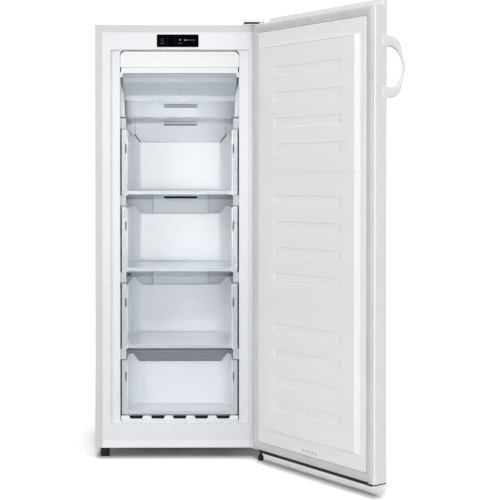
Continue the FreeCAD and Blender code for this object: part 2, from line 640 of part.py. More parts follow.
def drawer_tub(top, bottom, back, skids):
    """A clear moulded tub, open at its front, with a low rear wall and skids along its sides."""
    half = TUB_WIDTH / 2
    front = FRONT_Y + FRONT_THICKNESS
    floor = bottom + TUB_FLOOR_ABOVE
    side_top = top - TUB_SIDE_BELOW
    outer = tub_form(half, front, back, floor, side_top, TUB_CORNER, TUB_FLOOR_RADIUS)
    inner = tub_form(half - TUB_WALL, front - 1, back - TUB_WALL, floor + TUB_WALL, side_top + 1,
                     TUB_CORNER - TUB_WALL, TUB_FLOOR_RADIUS - TUB_WALL)
    tub = outer.cut(inner)
    low = top - TUB_REAR_BELOW
    dip = prism_y([(-half + DIP_LOW_INSET, low), (half - DIP_LOW_INSET, low),
                   (half - DIP_HIGH_INSET, side_top + 1), (-half + DIP_HIGH_INSET, side_top + 1)],
                  back - TUB_CORNER, back + 1)
    tub = tub.cut(dip)
    length = back - TUB_CORNER
    for side in (-1, 1):
        x0, x1 = sorted((side * half, side * (half - TUB_WALL)))
        tub = tub.fuse(box(x0, x1, front, length, bottom, floor + TUB_FLOOR_RADIUS))
        if skids:
            x0, x1 = sorted((side * half, side * (half + SKID_WIDTH)))
            tub = tub.fuse(box(x0, x1, front, length, bottom, bottom + SKID_THICKNESS))
    return tub.removeSplitter()


def drawer_front(top, bottom):
    """The clear front: a plate with a folded top lip and a thicker lower edge."""
    plate = wide_box(FRONT_WIDTH, FRONT_Y, FRONT_Y + FRONT_THICKNESS, bottom, top)
    plate = rounded(plate, 5.0, Y_AXIS)
    lip_half = TUB_WIDTH / 2 - TUB_WALL - 1
    lip = wide_box(2 * lip_half, FRONT_Y + FRONT_THICKNESS - 1, FRONT_Y + 14, top - 3, top)
    foot = wide_box(2 * lip_half, FRONT_Y + FRONT_THICKNESS - 1, FRONT_Y + 6, bottom, bottom + 3)
    brace = wide_box(2 * lip_half, FRONT_Y + FRONT_THICKNESS - 1, FRONT_Y + 5, top - TUB_SIDE_BELOW - 2,
                     top - TUB_SIDE_BELOW)
    slot_x = TUB_WIDTH / 2 + CLIP_SLOT_WIDTH
    slot_top = top - CLIP_SLOT_BELOW
    slots = both_sides(box(slot_x - CLIP_SLOT_WIDTH / 2, slot_x + CLIP_SLOT_WIDTH / 2, FRONT_Y - 1,
                           FRONT_Y + FRONT_THICKNESS + 1, slot_top - CLIP_SLOT_HEIGHT, slot_top))
    return plate.fuse([lip, foot, brace]).cut(slots).removeSplitter()


# ---- flap ----
def flap():
    """Clear flap with a thicker curved lower rim and two pivots."""
    half = FLAP_WIDTH / 2
    sheet = box(-half, half, FLAP_PIVOT_Y - 1, FLAP_PIVOT_Y - 1 + FLAP_SHEET, FLAP_BOTTOM + FLAP_RIM, FLAP_TOP)
    low = Part.Arc(Vector(-half, 0, FLAP_BOTTOM + 3), Vector(0, 0, FLAP_BOTTOM), Vector(half, 0, FLAP_BOTTOM + 3))
    corners = [Vector(half, 0, FLAP_BOTTOM + 3), Vector(half, 0, FLAP_BOTTOM + FLAP_RIM),
               Vector(-half, 0, FLAP_BOTTOM + FLAP_RIM), Vector(-half, 0, FLAP_BOTTOM + 3)]
    rim_wire = Part.Wire([low.toShape()] + list(Part.makePolygon(corners).Edges))
    rim = Part.Face(rim_wire).extrude(Vector(0, 7, 0)).translate(Vector(0, FLAP_PIVOT_Y - 4, 0))
    pins = [cylinder(FLAP_PIVOT_RADIUS, (side * (half - 6), FLAP_PIVOT_Y, FLAP_PIVOT_Z), X_AXIS * side, 11.0)
            for side in (-1, 1)]
    return sheet.fuse([rim] + pins).removeSplitter()


# ---- cooling ----
EVAPORATOR_Y = CAVITY_BACK - 24.0
EVAPORATOR_BOTTOM = HUMP_TOP + 43.0
EVAPORATOR_HEIGHT = 240.0
EVAPORATOR_TOP = EVAPORATOR_BOTTOM + EVAPORATOR_HEIGHT
EVAPORATOR_SIDE = 44.4            # room for the tube bends beside the fins
EVAPORATOR_HALF = CAVITY_HALF - EVAPORATOR_SIDE
FIN_PITCH = 30.0
FIN_THICKNESS = 0.8
FIN_DEPTH = 36.0
PASS_PITCH = 50.0
PASS_COUNT = 5
EVAPORATOR_TUBE = 4.0
HEATER_RADIUS = 3.5
HEATER_HALF = 11.0
DRAIN_RADIUS = 8.0
DRAIN_POINT = (-60.0, CAVITY_BACK + 15.0)
DRAIN_BELOW = 26.0


def pass_heights():
    middle = (EVAPORATOR_BOTTOM + EVAPORATOR_TOP) / 2
    return [middle + (index - (PASS_COUNT - 1) / 2) * PASS_PITCH for index in range(PASS_COUNT)]


def serpentine(half, heights, point):
    """Corner points of a tube that runs to and fro, one pass at each height."""
    points = []
    for index, height in enumerate(heights):
        ends = (-half, half) if index % 2 == 0 else (half, -half)
        points += [point(ends[0], height), point(ends[1], height)]
    return points


def evaporator_fins():
    """Thin fins. The two end plates reach the cavity's back wall, which carries the evaporator."""
    fins = []
    count = int(2 * EVAPORATOR_HALF / FIN_PITCH) + 1
    holes = [cylinder(EVAPORATOR_TUBE + 0.1, (-HALF, EVAPORATOR_Y, z), X_AXIS, WIDTH) for z in pass_heights()]
    for index in range(count):
        x = -EVAPORATOR_HALF + index * FIN_PITCH
        is_end = index in (0, count - 1)
        back = CAVITY_BACK - CLEAR if is_end else EVAPORATOR_Y + FIN_DEPTH / 2
        fin = box(x - FIN_THICKNESS / 2, x + FIN_THICKNESS / 2, EVAPORATOR_Y - FIN_DEPTH / 2,
                  back, EVAPORATOR_BOTTOM, EVAPORATOR_TOP)
        fins.append(fin.cut(holes))
    return Part.makeCompound(fins)


def evaporator_tube():
    half = EVAPORATOR_HALF + PASS_PITCH / 2 + 8
    points = serpentine(half, pass_heights(), lambda x, z: (x, EVAPORATOR_Y, z))
    return tube(points, EVAPORATOR_TUBE, PASS_PITCH / 2 - 0.01)


def defrost_heater():
    """Hairpin heating rod under the evaporator."""
    z = EVAPORATOR_BOTTOM - HEATER_RADIUS - CLEAR
    front, back = EVAPORATOR_Y - HEATER_HALF, EVAPORATOR_Y + HEATER_HALF
    half = EVAPORATOR_HALF + 10
    return tube([(-half, front, z), (half, front, z), (half, back, z), (-half, back, z)],
                HEATER_RADIUS, HEATER_HALF - 0.01)


def fan_motor():
    """Motor can, its cross arm on the cavity's back wall and the shaft."""
    front, back = DUCT_PLATE_Y + FAN_LENGTH + 2, CAVITY_BACK - SEAT
    can = cylinder(FAN_MOTOR_RADIUS, (0, front, FAN_Z), Y_AXIS, back - front)
    can = can.makeFillet(3.0, [e for e in can.Edges if isinstance(e.Curve, Part.Circle)
                               and e.Curve.Center.y < front + 1])
    shaft = cylinder(SHAFT_RADIUS, (0, DUCT_PLATE_Y - 6, FAN_Z), Y_AXIS, front + 10 - DUCT_PLATE_Y)
    arm = box(-FAN_MOTOR_ARM, FAN_MOTOR_ARM, back - 4, back, FAN_Z - 8, FAN_Z + 8)
    return can.fuse([shaft, arm]).removeSplitter()


def fan_blade():
    """Seven pitched blades on a bored hub."""
    start, length = DUCT_PLATE_Y - 2, FAN_LENGTH
    hub = cylinder(FAN_HUB_RADIUS, (0, start, FAN_Z), Y_AXIS, length)
    blades = []
    for index in range(FAN_BLADES):
        blade = box(FAN_HUB_RADIUS - 3, FAN_RADIUS, -0.8, 0.8, -0.6 * length, 0.6 * length)
        blade.rotate(Vector(0, 0, 0), X_AXIS, 55)
        blade = blade.common(cylinder(FAN_RADIUS, (0, -15, 0), Y_AXIS, 30))
        blade.rotate(Vector(0, 0, 0), Y_AXIS, index * 360 / FAN_BLADES)
        blade.translate(Vector(0, start + length / 2, FAN_Z))
        blades.append(blade)
    wheel = hub.fuse(blades).removeSplitter()
    return wheel.cut(cylinder(SHAFT_RADIUS + RUNNING_FIT, (0, start - 1, FAN_Z), Y_AXIS, length + 2))


def drain_hole(radius):
    x, y = DRAIN_POINT
    return cylinder(radius, (x, y, MACHINE_TOP - DRAIN_BELOW), Z_AXIS, DRAIN_BELOW + HUMP_COVER + 20)


def drain_tube():
    """Tube from the trough at the cavity's step down over the drip tray."""
    x, y = DRAIN_POINT
    bottom, top = MACHINE_TOP - DRAIN_BELOW, HUMP_TOP + 10
    pipe = cylinder(DRAIN_RADIUS, (x, y, bottom), Z_AXIS, top - bottom)
    return pipe.cut(cylinder(DRAIN_RADIUS - 1.5, (x, y, bottom - 1), Z_AXIS, top - bottom + 2))


COMPRESSOR_RIGHT = 60.0
COMPRESSOR_BEHIND = 140.0
COMPRESSOR = (COMPRESSOR_RIGHT, MACHINE_FRONT + COMPRESSOR_BEHIND)
COMPRESSOR_HEIGHT = 197.0
COMPRESSOR_RADIUS = 78.0
SEAM_UP = 95.0
SHELL_CORNER_LOW = 32.0
SHELL_CORNER_HIGH = 50.0
MOTOR_HEIGHT = 70.0
PUMP_SIZE = 60.0
PUMP_HEIGHT = 30.0
COMPRESSOR_SEAM = 4.0
COMPRESSOR_SHELL = 3.0
MOTOR_RADIUS = 48.0
COMPRESSOR_TOP = BASE_HEIGHT + COMPRESSOR_HEIGHT
GROMMET_HEIGHT = 14.5
GROMMET_OFFSETS = (92.0, 62.0)
BASE_SHEET = 1.5


def compressor():
    """Hermetic compressor: domed can with a weld seam on a foot plate."""
    x, y = COMPRESSOR
    foot_z = BASE_HEIGHT + BASE_SHEET + GROMMET_HEIGHT
    r, top = COMPRESSOR_RADIUS, COMPRESSOR_TOP
    wide = r + COMPRESSOR_SEAM
    seam, low, high = foot_z + SEAM_UP, foot_z + SHELL_CORNER_LOW, top - SHELL_CORNER_HIGH
    profile = [Part.LineSegment(Vector(0, 0, foot_z), Vector(r - 30, 0, foot_z)).toShape(),
               Part.Arc(Vector(r - 30, 0, foot_z), Vector(r - 9, 0, foot_z + 10), Vector(r, 0, low)).toShape(),
               Part.makePolygon([Vector(r, 0, low), Vector(r, 0, seam - 4), Vector(wide, 0, seam - 4),
                                 Vector(wide, 0, seam + 4), Vector(r, 0, seam + 4), Vector(r, 0, high)]),
               Part.Arc(Vector(r, 0, high), Vector(r - 20, 0, top - 14), Vector(r - 48, 0, top)).toShape(),
               Part.makePolygon([Vector(r - 48, 0, top), Vector(0, 0, top), Vector(0, 0, foot_z)])]
    edges = [edge for piece in profile for edge in piece.Edges]
    can = Part.Face(Part.Wire(edges)).revolve(Vector(0, 0, 0), Z_AXIS, 360)
    wall = COMPRESSOR_SHELL
    hollow = cylinder(r - wall, (0, 0, low), Z_AXIS, high - low)
    can = can.cut([hollow, cylinder(MOTOR_RADIUS, (0, 0, foot_z + 10), Z_AXIS, top - foot_z - 24)])
    can.translate(Vector(x, y, 0))
    dx, dy = GROMMET_OFFSETS
    plate = box(x - dx - 14, x + dx + 14, y - dy - 14, y + dy + 14, foot_z, foot_z + 2.5)
    return can.fuse(rounded(plate, 14.0, Z_AXIS)).removeSplitter()


def compressor_motor():
    """Motor and pump block inside the can, standing on its floor."""
    x, y = COMPRESSOR
    foot_z = BASE_HEIGHT + BASE_SHEET + GROMMET_HEIGHT
    block = cylinder(MOTOR_RADIUS - 1, (x, y, foot_z + 10 + CLEAR), Z_AXIS, MOTOR_HEIGHT)
    pump_z = foot_z + 10 + MOTOR_HEIGHT
    pump = wide_box(PUMP_SIZE, -PUMP_SIZE / 2, PUMP_SIZE / 2, pump_z, pump_z + PUMP_HEIGHT)
    pump.translate(Vector(x, y, 0))
    return block.fuse(pump)


def compressor_grommets():
    x, y = COMPRESSOR
    dx, dy = GROMMET_OFFSETS
    rubbers = []
    for sx in (-1, 1):
        for sy in (-1, 1):
            at = (x + sx * dx, y + sy * dy, BASE_HEIGHT + BASE_SHEET)
            rubbers.append(cylinder(10.0, at, Z_AXIS, GROMMET_HEIGHT))
    return Part.makeCompound(rubbers)


def base_plate():
    half = HALF - SHEET
    rear = CABINET_DEPTH - 4
    pan = box(-half, half, MACHINE_FRONT + SHEET, rear, BASE_HEIGHT, BASE_HEIGHT + BASE_SHEET)
    upturn = box(-half, half, rear - BASE_SHEET, rear, BASE_HEIGHT, BASE_HEIGHT + 24)
    sides = both_sides(box(half - BASE_SHEET, half, MACHINE_FRONT + SHEET, rear, BASE_HEIGHT, BASE_HEIGHT + 18))
    plate = pan.fuse([upturn] + sides).removeSplitter()
    gx, _, gz = CORD_BUSH
    return plate.cut(cylinder(CORD_BUSH_RADIUS + RUNNING_FIT, (gx, rear - 10, gz), Y_AXIS, 20))


CORD_BUSH = (-HALF + 85.0, CABINET_DEPTH - 4, BASE_HEIGHT + 13)
CORD_BUSH_RADIUS = 6.5


def cord_bush():
    """Plastic bush in the rear edge that a mains lead passes through."""
    x, y, z = CORD_BUSH
    collar = cylinder(9.0, (x, y + CLEAR / 3, z), Y_AXIS, 2.5)
    neck = cylinder(CORD_BUSH_RADIUS, (x, y - 6, z), Y_AXIS, 8)
    return collar.fuse(neck).cut(cylinder(4.0, (x, y - 8, z), Y_AXIS, 14)).removeSplitter()


TRAY_LEFT = 145.0                 # from the compressor's axis
TRAY_RIGHT = 75.0
TRAY_FRONT = 70.0
TRAY_BACK = 100.0
TRAY_HEIGHT = 34.0
TRAY_WALL = 2.0


def drip_tray():
    """Open tray that sits on the compressor and dries the melt water."""
    x, y = COMPRESSOR
    bottom = COMPRESSOR_TOP + CLEAR
    tray = box(x - TRAY_LEFT, x + TRAY_RIGHT, y - TRAY_FRONT, y + TRAY_BACK, bottom, bottom + TRAY_HEIGHT)
    tray = rounded(tray, 14.0, Z_AXIS)
    wall = TRAY_WALL
    hollow = box(x - TRAY_LEFT + wall, x + TRAY_RIGHT - wall, y - TRAY_FRONT + wall, y + TRAY_BACK - wall,
                 bottom + wall, bottom + TRAY_HEIGHT + wall)
    return tray.cut(rounded(hollow, 14.0 - wall, Z_AXIS))


STARTER_SIZE = (40.0, 64.0, 70.0)
STARTER_UP = 55.0


def starter_box():
    x, y = COMPRESSOR
    side = x + COMPRESSOR_RADIUS + COMPRESSOR_SEAM + CLEAR
    depth, width, height = STARTER_SIZE
    low = BASE_HEIGHT + STARTER_UP
    case = box(side, side + depth, y - width / 2, y + width / 2, low, low + height)
    return case.makeFillet(4.0, edges_along(case, Z_AXIS, lambda m: m.x > side + 1))


DRIER = (-HALF + 105.0, CABINET_DEPTH - 84.0, BASE_HEIGHT + 162.0)
DRIER_LENGTH = 84.0
DRIER_RADIUS = 8.5


def filter_drier():
    x, y, z = DRIER
    r, end = DRIER_RADIUS, DRIER_LENGTH
    profile = [(0, 0), (r / 2, 0), (r, 12), (r, end - 14), (r / 2, end), (0, end)]
    wire = Part.makePolygon([Vector(r, 0, h) for r, h in profile] + [Vector(0, 0, 0)])
    body = Part.Face(wire).revolve(Vector(0, 0, 0), Z_AXIS, 360)
    body.translate(Vector(x, y, z - DRIER_LENGTH))
    return body


LINE_OFFSET = 40.0
STUB_BELOW_TOP = 130.0
DISCHARGE_RUN = 88.0
DISCHARGE_RISE = 90.0


def refrigerant_lines():
    """Discharge, suction and drier lines of the machine room."""
    x, y = COMPRESSOR
    off = LINE_OFFSET
    reach = math.sqrt(COMPRESSOR_RADIUS ** 2 - (off - 4.0) ** 2) + CLEAR
    wall = HALF - SHEET - CLEAR
    dx, dy, dz = DRIER
    low = COMPRESSOR_TOP - STUB_BELOW_TOP
    side, high = x - TRAY_LEFT - 25.0, MACHINE_TOP - 30.0
    step = x + reach + DISCHARGE_RUN
    front = MACHINE_SLOPE_Y + 30.0
    discharge = tube([(x + reach, y + off, low), (step, y + off, low), (step, y + off, low + DISCHARGE_RISE),
                      (wall, y + off, low + DISCHARGE_RISE)], 3.0, 14.0)
    suction = tube([(x - reach, y + off, low), (side, y + off, low), (side, y + off, high),
                    (side, front, high), (side, front, MACHINE_TOP - CLEAR)], 4.0, 14.0)
    to_drier = tube([(-wall, dy, dz + 50), (dx, dy, dz + 50), (dx, dy, dz)], 3.0, 14.0)
    low_z = dz - DRIER_LENGTH
    from_drier = tube([(dx, dy, low_z), (dx, dy, low_z - 46), (dx, MACHINE_FRONT + SHEET + CLEAR, low_z - 46)], 2.2, 14.0)
    return Part.makeCompound([discharge, suction, to_drier, from_drier])


def condenser_tubes():
    """Serpentine tubes that lie on the inner faces of both side panels."""
    x = HALF - SHEET - CONDENSER_RADIUS - SEAT
    passes = [CONDENSER_PITCH * (index + 1) for index in range(CONDENSER_PASSES)]
    middle = (MACHINE_TOP + CABINET_TOP) / 2
    half = (CABINET_TOP - MACHINE_TOP) / 2 - CONDENSER_MARGIN
    points = serpentine(half, passes, lambda run, y: (x, y, middle + run))
    return Part.makeCompound(both_sides(tube(points, CONDENSER_RADIUS, CONDENSER_PITCH / 2 - 5)))


# ---- hinges, caps and feet ----
ARM_HALF = 7.0
COVER_SPAN = (HALF - 66.0, HALF - 2.0)
COVER_FRONT = HINGE_Y - 9.0
COVER_BACK = 62.0
COVER_HEIGHT = 17.0
COVER_UNDERSIDE = 4.5             # over the door, above the cabinet's top
SPARE_CAP_WIDTH = 62.0
LEFT_FOOT_X = -HALF + FOOT_INSET
STUD_UP = 9.0


def hinge_arm(y_back, z0):
    """Arm of a hinge plate with a round end about the hinge axis."""
    arm = box(HINGE_X - ARM_HALF, HINGE_X + ARM_HALF, HINGE_Y, y_back, z0, z0 + BRACKET)
    return arm.fuse(cylinder(ARM_HALF, (HINGE_X, HINGE_Y, z0), Z_AXIS, BRACKET))


def upper_hinge_bracket():
    z = CABINET_TOP
    plate = box(COVER_SPAN[0] + 4, HINGE_X + ARM_HALF, 4, COVER_BACK - 6, z, z + BRACKET)
    pin_bottom = DOOR_LEDGE - BUSH_LENGTH + 3
    pin = cylinder(PIN_RADIUS, (HINGE_X, HINGE_Y, pin_bottom), Z_AXIS, z + BRACKET - pin_bottom)
    bracket = plate.fuse([hinge_arm(10, z), pin]).removeSplitter()
    return bracket.cut([cylinder(2.6, (x, y, z - 1), Z_AXIS, 6) for x, y in hinge_screw_points()])


def hinge_screw_points():
    x0 = COVER_SPAN[0] + 13
    return [(x0, 18), (x0, 46), (x0 + 36, 46)]


def hinge_screws():
    screws = []
    for x, y in hinge_screw_points():
        head = cylinder(5.0, (x, y, CABINET_TOP + BRACKET), Z_AXIS, 3.0)
        head = head.makeFillet(1.2, [e for e in head.Edges if e.Vertexes[0].Z > CABINET_TOP + BRACKET + 2])
        shank = cylinder(2.5, (x, y, CABINET_TOP + 0.05), Z_AXIS, BRACKET)
        screws.append(head.fuse(shank))
    return Part.makeCompound(screws)


def hinge_cover():
    """Plastic cover over the upper hinge, open below."""
    x0, x1 = COVER_SPAN
    top = CABINET_TOP + COVER_HEIGHT
    outer = box(x0, x1, COVER_FRONT, COVER_BACK, CABINET_TOP, top)
    outer = rounded(outer, 6.0, Z_AXIS)
    outer = outer.makeFillet(3.0, [e for e in outer.Edges if all(v.Z > top - 0.1 for v in e.Vertexes)])
    wall = 1.5
    inner = rounded(box(x0 + wall, x1 - wall, COVER_FRONT + wall, COVER_BACK - wall, CABINET_TOP - 1, top - 2), 4.5, Z_AXIS)
    over_door = box(x0 - 1, x1 + 1, COVER_FRONT - 1, -0.5, CABINET_TOP - 1, CABINET_TOP + COVER_UNDERSIDE)
    return outer.cut([inner, over_door])


def spare_hinge_cap():
    """Flat cap over the unused hinge holes at the other corner."""
    cap = rounded(box(-HALF + 2, -HALF + 2 + SPARE_CAP_WIDTH, 3, 56, CABINET_TOP, CABINET_TOP + 3.5), 5.0, Z_AXIS)
    return cap.makeFillet(1.2, [e for e in cap.Edges if all(v.Z > CABINET_TOP + 3 for v in e.Vertexes)])


def lower_hinge_bracket():
    """Plate under the cabinet with the lower pin and the thread of the right front foot."""
    z = BASE_HEIGHT - BRACKET
    plate = box(HINGE_X - 28, HINGE_X + ARM_HALF + 1, TRIM_DEPTH - 10, 60, z, z + BRACKET)
    arm = box(HINGE_X - 10, HINGE_X + ARM_HALF + 1, HINGE_Y, 4, z, z + BRACKET)
    nose = cylinder(ARM_HALF + 1, (HINGE_X, HINGE_Y, z), Z_AXIS, BRACKET)
    pin = cylinder(PIN_RADIUS, (HINGE_X, HINGE_Y, z), Z_AXIS, BRACKET + BUSH_LENGTH)
    bracket = plate.fuse([arm, nose, pin]).removeSplitter()
    return bracket.cut(cylinder(PIN_RADIUS + RUNNING_FIT, (HINGE_X, RIGHT_FOOT_Y, z - 1), Z_AXIS, BRACKET + 2))


def front_left_foot():
    at, radius = (LEFT_FOOT_X, LEFT_FOOT_Y, 0), LEFT_FOOT_RADIUS
    pad = cylinder(radius, at, Z_AXIS, BASE_HEIGHT - CLEAR)
    pad = pad.makeFillet(2.5, [e for e in pad.Edges if isinstance(e.Curve, Part.Circle) and e.Curve.Center.z < 1])
    stud = cylinder(PIN_RADIUS, at[:2] + (BASE_HEIGHT - 1,), Z_AXIS, STUD_UP)
    return pad.fuse(stud).removeSplitter()


def front_right_foot():
    """Levelling foot: a pad with a narrower neck on a stud in the lower hinge plate."""
    top = BASE_HEIGHT - CLEAR
    at = (HINGE_X, RIGHT_FOOT_Y, 0)
    pad = cylinder(RIGHT_FOOT_RADIUS, at, Z_AXIS, RIGHT_FOOT_PAD)
    pad = pad.makeFillet(2.0, [e for e in pad.Edges if isinstance(e.Curve, Part.Circle)])
    neck = cylinder(RIGHT_FOOT_NECK, at, Z_AXIS, RIGHT_FOOT_HEIGHT)
    stud = cylinder(PIN_RADIUS, at, Z_AXIS, top)
    return pad.fuse([neck, stud]).removeSplitter()


def rear_feet():
    at = (HALF - FOOT_INSET, CABINET_DEPTH - REAR_FOOT_INSET, 0)
    foot = cylinder(REAR_FOOT_RADIUS, at, Z_AXIS, BASE_HEIGHT)
    foot = foot.makeFillet(3.0, [e for e in foot.Edges if isinstance(e.Curve, Part.Circle) and e.Curve.Center.z < 1])
    return Part.makeCompound(both_sides(foot))


# ---- door, modelled closed ----
SHELL_FIT = 0.1                   # cap and foam inside the steel pan


def door_block(shrink, z0, z1):
    """The door's outline in plan, shrunk by a sheet thickness, between two heights."""
    block = wide_box(WIDTH - 2 * shrink, DOOR_FRONT_Y + shrink, DOOR_INNER_Y - shrink, z0, z1)
    return rounded(block, DOOR_EDGE_RADIUS - shrink, Z_AXIS)


def door_skin():
    """Steel pan: front, two edges and the lips that the gasket sits on."""
    low = DOOR_BOTTOM + CAP_LIP
    outer = door_block(0, low, DOOR_LEDGE)
    inner = door_block(SHEET, low - 1, DOOR_LEDGE + 1)
    mouth = wide_box(WIDTH - 2 * DOOR_LIP, DOOR_INNER_Y - 2 * SHEET, DOOR_INNER_Y + 1, low - 1, DOOR_LEDGE + 1)
    return outer.cut([inner, mouth])


def hinge_bore(radius, z0, z1):
    return cylinder(radius, (HINGE_X, HINGE_Y, z0), Z_AXIS, z1 - z0)


def door_top_cap():
    """Plastic cap with the raised front edge that hides the hinge from the front."""
    cap = door_block(SHEET + SHELL_FIT, DOOR_LEDGE - CAP_HEIGHT, DOOR_LEDGE)
    ridge = box(-HALF, HALF - RIDGE_START, DOOR_FRONT_Y, DOOR_FRONT_Y + RIDGE_DEPTH, DOOR_LEDGE, DOOR_TOP)
    ridge = rounded(ridge, 4.0, Z_AXIS)
    ridge = ridge.makeFillet(2.0, [e for e in ridge.Edges if all(v.Z > DOOR_TOP - 0.1 for v in e.Vertexes)])
    return cap.fuse(ridge).cut(hinge_bore(BUSH_RADIUS + RUNNING_FIT, DOOR_LEDGE - BUSH_LENGTH, DOOR_LEDGE + 1)).removeSplitter()


def door_bottom_cap():
    """Dark plastic cap whose lower edge covers the end of the steel pan."""
    cap = door_block(SHEET + SHELL_FIT, DOOR_BOTTOM, DOOR_BOTTOM + CAP_HEIGHT)
    lip = door_block(0, DOOR_BOTTOM, DOOR_BOTTOM + CAP_LIP - CLEAR)
    bore = hinge_bore(BUSH_RADIUS + RUNNING_FIT, DOOR_BOTTOM - 1, DOOR_BOTTOM + BUSH_LENGTH + 2)
    return cap.fuse(lip).cut(bore).removeSplitter()


def hinge_bushes():
    """Plastic bushes that turn on the upper and the lower pin."""
    bushes = []
    for z0, z1 in ((DOOR_LEDGE - BUSH_LENGTH, DOOR_LEDGE), (DOOR_BOTTOM, DOOR_BOTTOM + BUSH_LENGTH + 2)):
        bushes.append(hinge_bore(BUSH_RADIUS, z0, z1).cut(hinge_bore(PIN_RADIUS + RUNNING_FIT, z0 - 1, z1 + 1)))
    return Part.makeCompound(bushes)


def door_liner_form(shrink):
    """Plate and raised panel of the door's inner side, shrunk by a wall."""
    base_y = DOOR_INNER_Y
    plate = wide_box(PLATE_WIDTH - 2 * shrink, base_y, base_y + PLATE_HEIGHT - shrink, PLATE_BOTTOM + shrink,
                     PLATE_TOP - shrink)
    half = PANEL_WIDTH / 2 - shrink
    panel = frustum(half, base_y + PLATE_HEIGHT - 2 * shrink, PANEL_BOTTOM + shrink, PANEL_TOP - shrink,
                    half - PANEL_SIDE_BEVEL, base_y + PANEL_HEIGHT - shrink, PANEL_BOTTOM + PANEL_END_BEVEL + shrink,
                    PANEL_TOP - PANEL_END_BEVEL - shrink)
    return plate, panel


def door_liner():
    """Moulded inner side: three fields divided by grooves, each with four wide sunk ribs."""
    plate, panel = door_liner_form(0)
    plate = rounded(plate, PLATE_CORNER, Y_AXIS)
    plate = plate.makeFillet(2.5, [e for e in plate.Edges
                                   if all(v.Y > DOOR_INNER_Y + PLATE_HEIGHT - 0.01 for v in e.Vertexes)])
    face_y = DOOR_INNER_Y + PANEL_HEIGHT
    plate_y = DOOR_INNER_Y + PLATE_HEIGHT
    cuts = []
    half = RIB_WIDTH / 2
    for field in range(FIELD_COUNT):
        groove = PANEL_TOP - GROOVE_BELOW_TOP - (field - 1) * FIELD_PITCH
        if field > 0:
            cuts.append(wide_box(PANEL_WIDTH, face_y - GROOVE_DEPTH, face_y + 1, groove, groove + GROOVE_WIDTH))
        for index in range(RIBS_PER_FIELD):
            top = PANEL_TOP - RIB_BELOW_TOP - field * FIELD_PITCH - index * RIB_PITCH
            bottom = top - RIB_HEIGHT
            cuts.append(frustum(half + 0.4, face_y + 0.4, bottom - 0.4, top + 0.4,
                                half - RIB_END, face_y - RIB_DEPTH, bottom + RIB_DEPTH, top - RIB_DEPTH))
    mark = PLATE_TOP - 33.0
    cuts.append(wide_box(0.54 * PLATE_WIDTH, plate_y - 1.0, plate_y + 1, mark, mark + 2.5))
    low = PLATE_BOTTOM + 8.5
    cuts += [box(x - 1.5, x + 1.5, plate_y - 2, plate_y + 1, low, low + 9.0) for x in (-30, -16, -2, 12, 26)]
    hollow = door_liner_form(DOOR_LINER_WALL + GROOVE_DEPTH)
    inner_plate = wide_box(PLATE_WIDTH - 2 * DOOR_LINER_WALL, DOOR_INNER_Y - 1, DOOR_INNER_Y + PLATE_HEIGHT - 4,
                           PLATE_BOTTOM + DOOR_LINER_WALL, PLATE_TOP - DOOR_LINER_WALL)
    return plate.fuse(panel).cut(cuts).cut([hollow[1], inner_plate]).removeSplitter()


def door_foam():
    slab = door_block(SHEET + SHELL_FIT, DOOR_BOTTOM + CAP_HEIGHT, DOOR_LEDGE - CAP_HEIGHT)
    core = wide_box(WIDTH - 2 * DOOR_LIP - 2 * SHELL_FIT, DOOR_INNER_Y - 5, DOOR_INNER_Y, DOOR_BOTTOM + CAP_HEIGHT,
                    DOOR_LEDGE - CAP_HEIGHT)
    inner_plate = wide_box(PLATE_WIDTH - 2 * DOOR_LINER_WALL, DOOR_INNER_Y - 1, DOOR_INNER_Y + PLATE_HEIGHT - 4,
                           PLATE_BOTTOM + DOOR_LINER_WALL, PLATE_TOP - DOOR_LINER_WALL)
    _, raised = door_liner_form(DOOR_LINER_WALL + GROOVE_DEPTH)
    return slab.fuse([core, inner_plate, raised]).removeSplitter()


def door_gasket():
    """Magnetic seal: a bulb and a soft lip round the door's inner face."""
    w, h = GASKET_WIDTH, GASKET_HEIGHT
    profile = [(0, 0), (-0.8, 2.5), (0.3, 5.2), (4.5, h), (13.0, h), (15.5, h - 2.0), (19.0, h - 1.6),
               (w - 1.5, h - 3.6), (w, 1.0), (w, 0)]
    reach = CLEAR + w
    return mitred_ring(profile, PLATE_WIDTH / 2 + reach, PLATE_BOTTOM - reach, PLATE_TOP + reach, DOOR_INNER_Y)


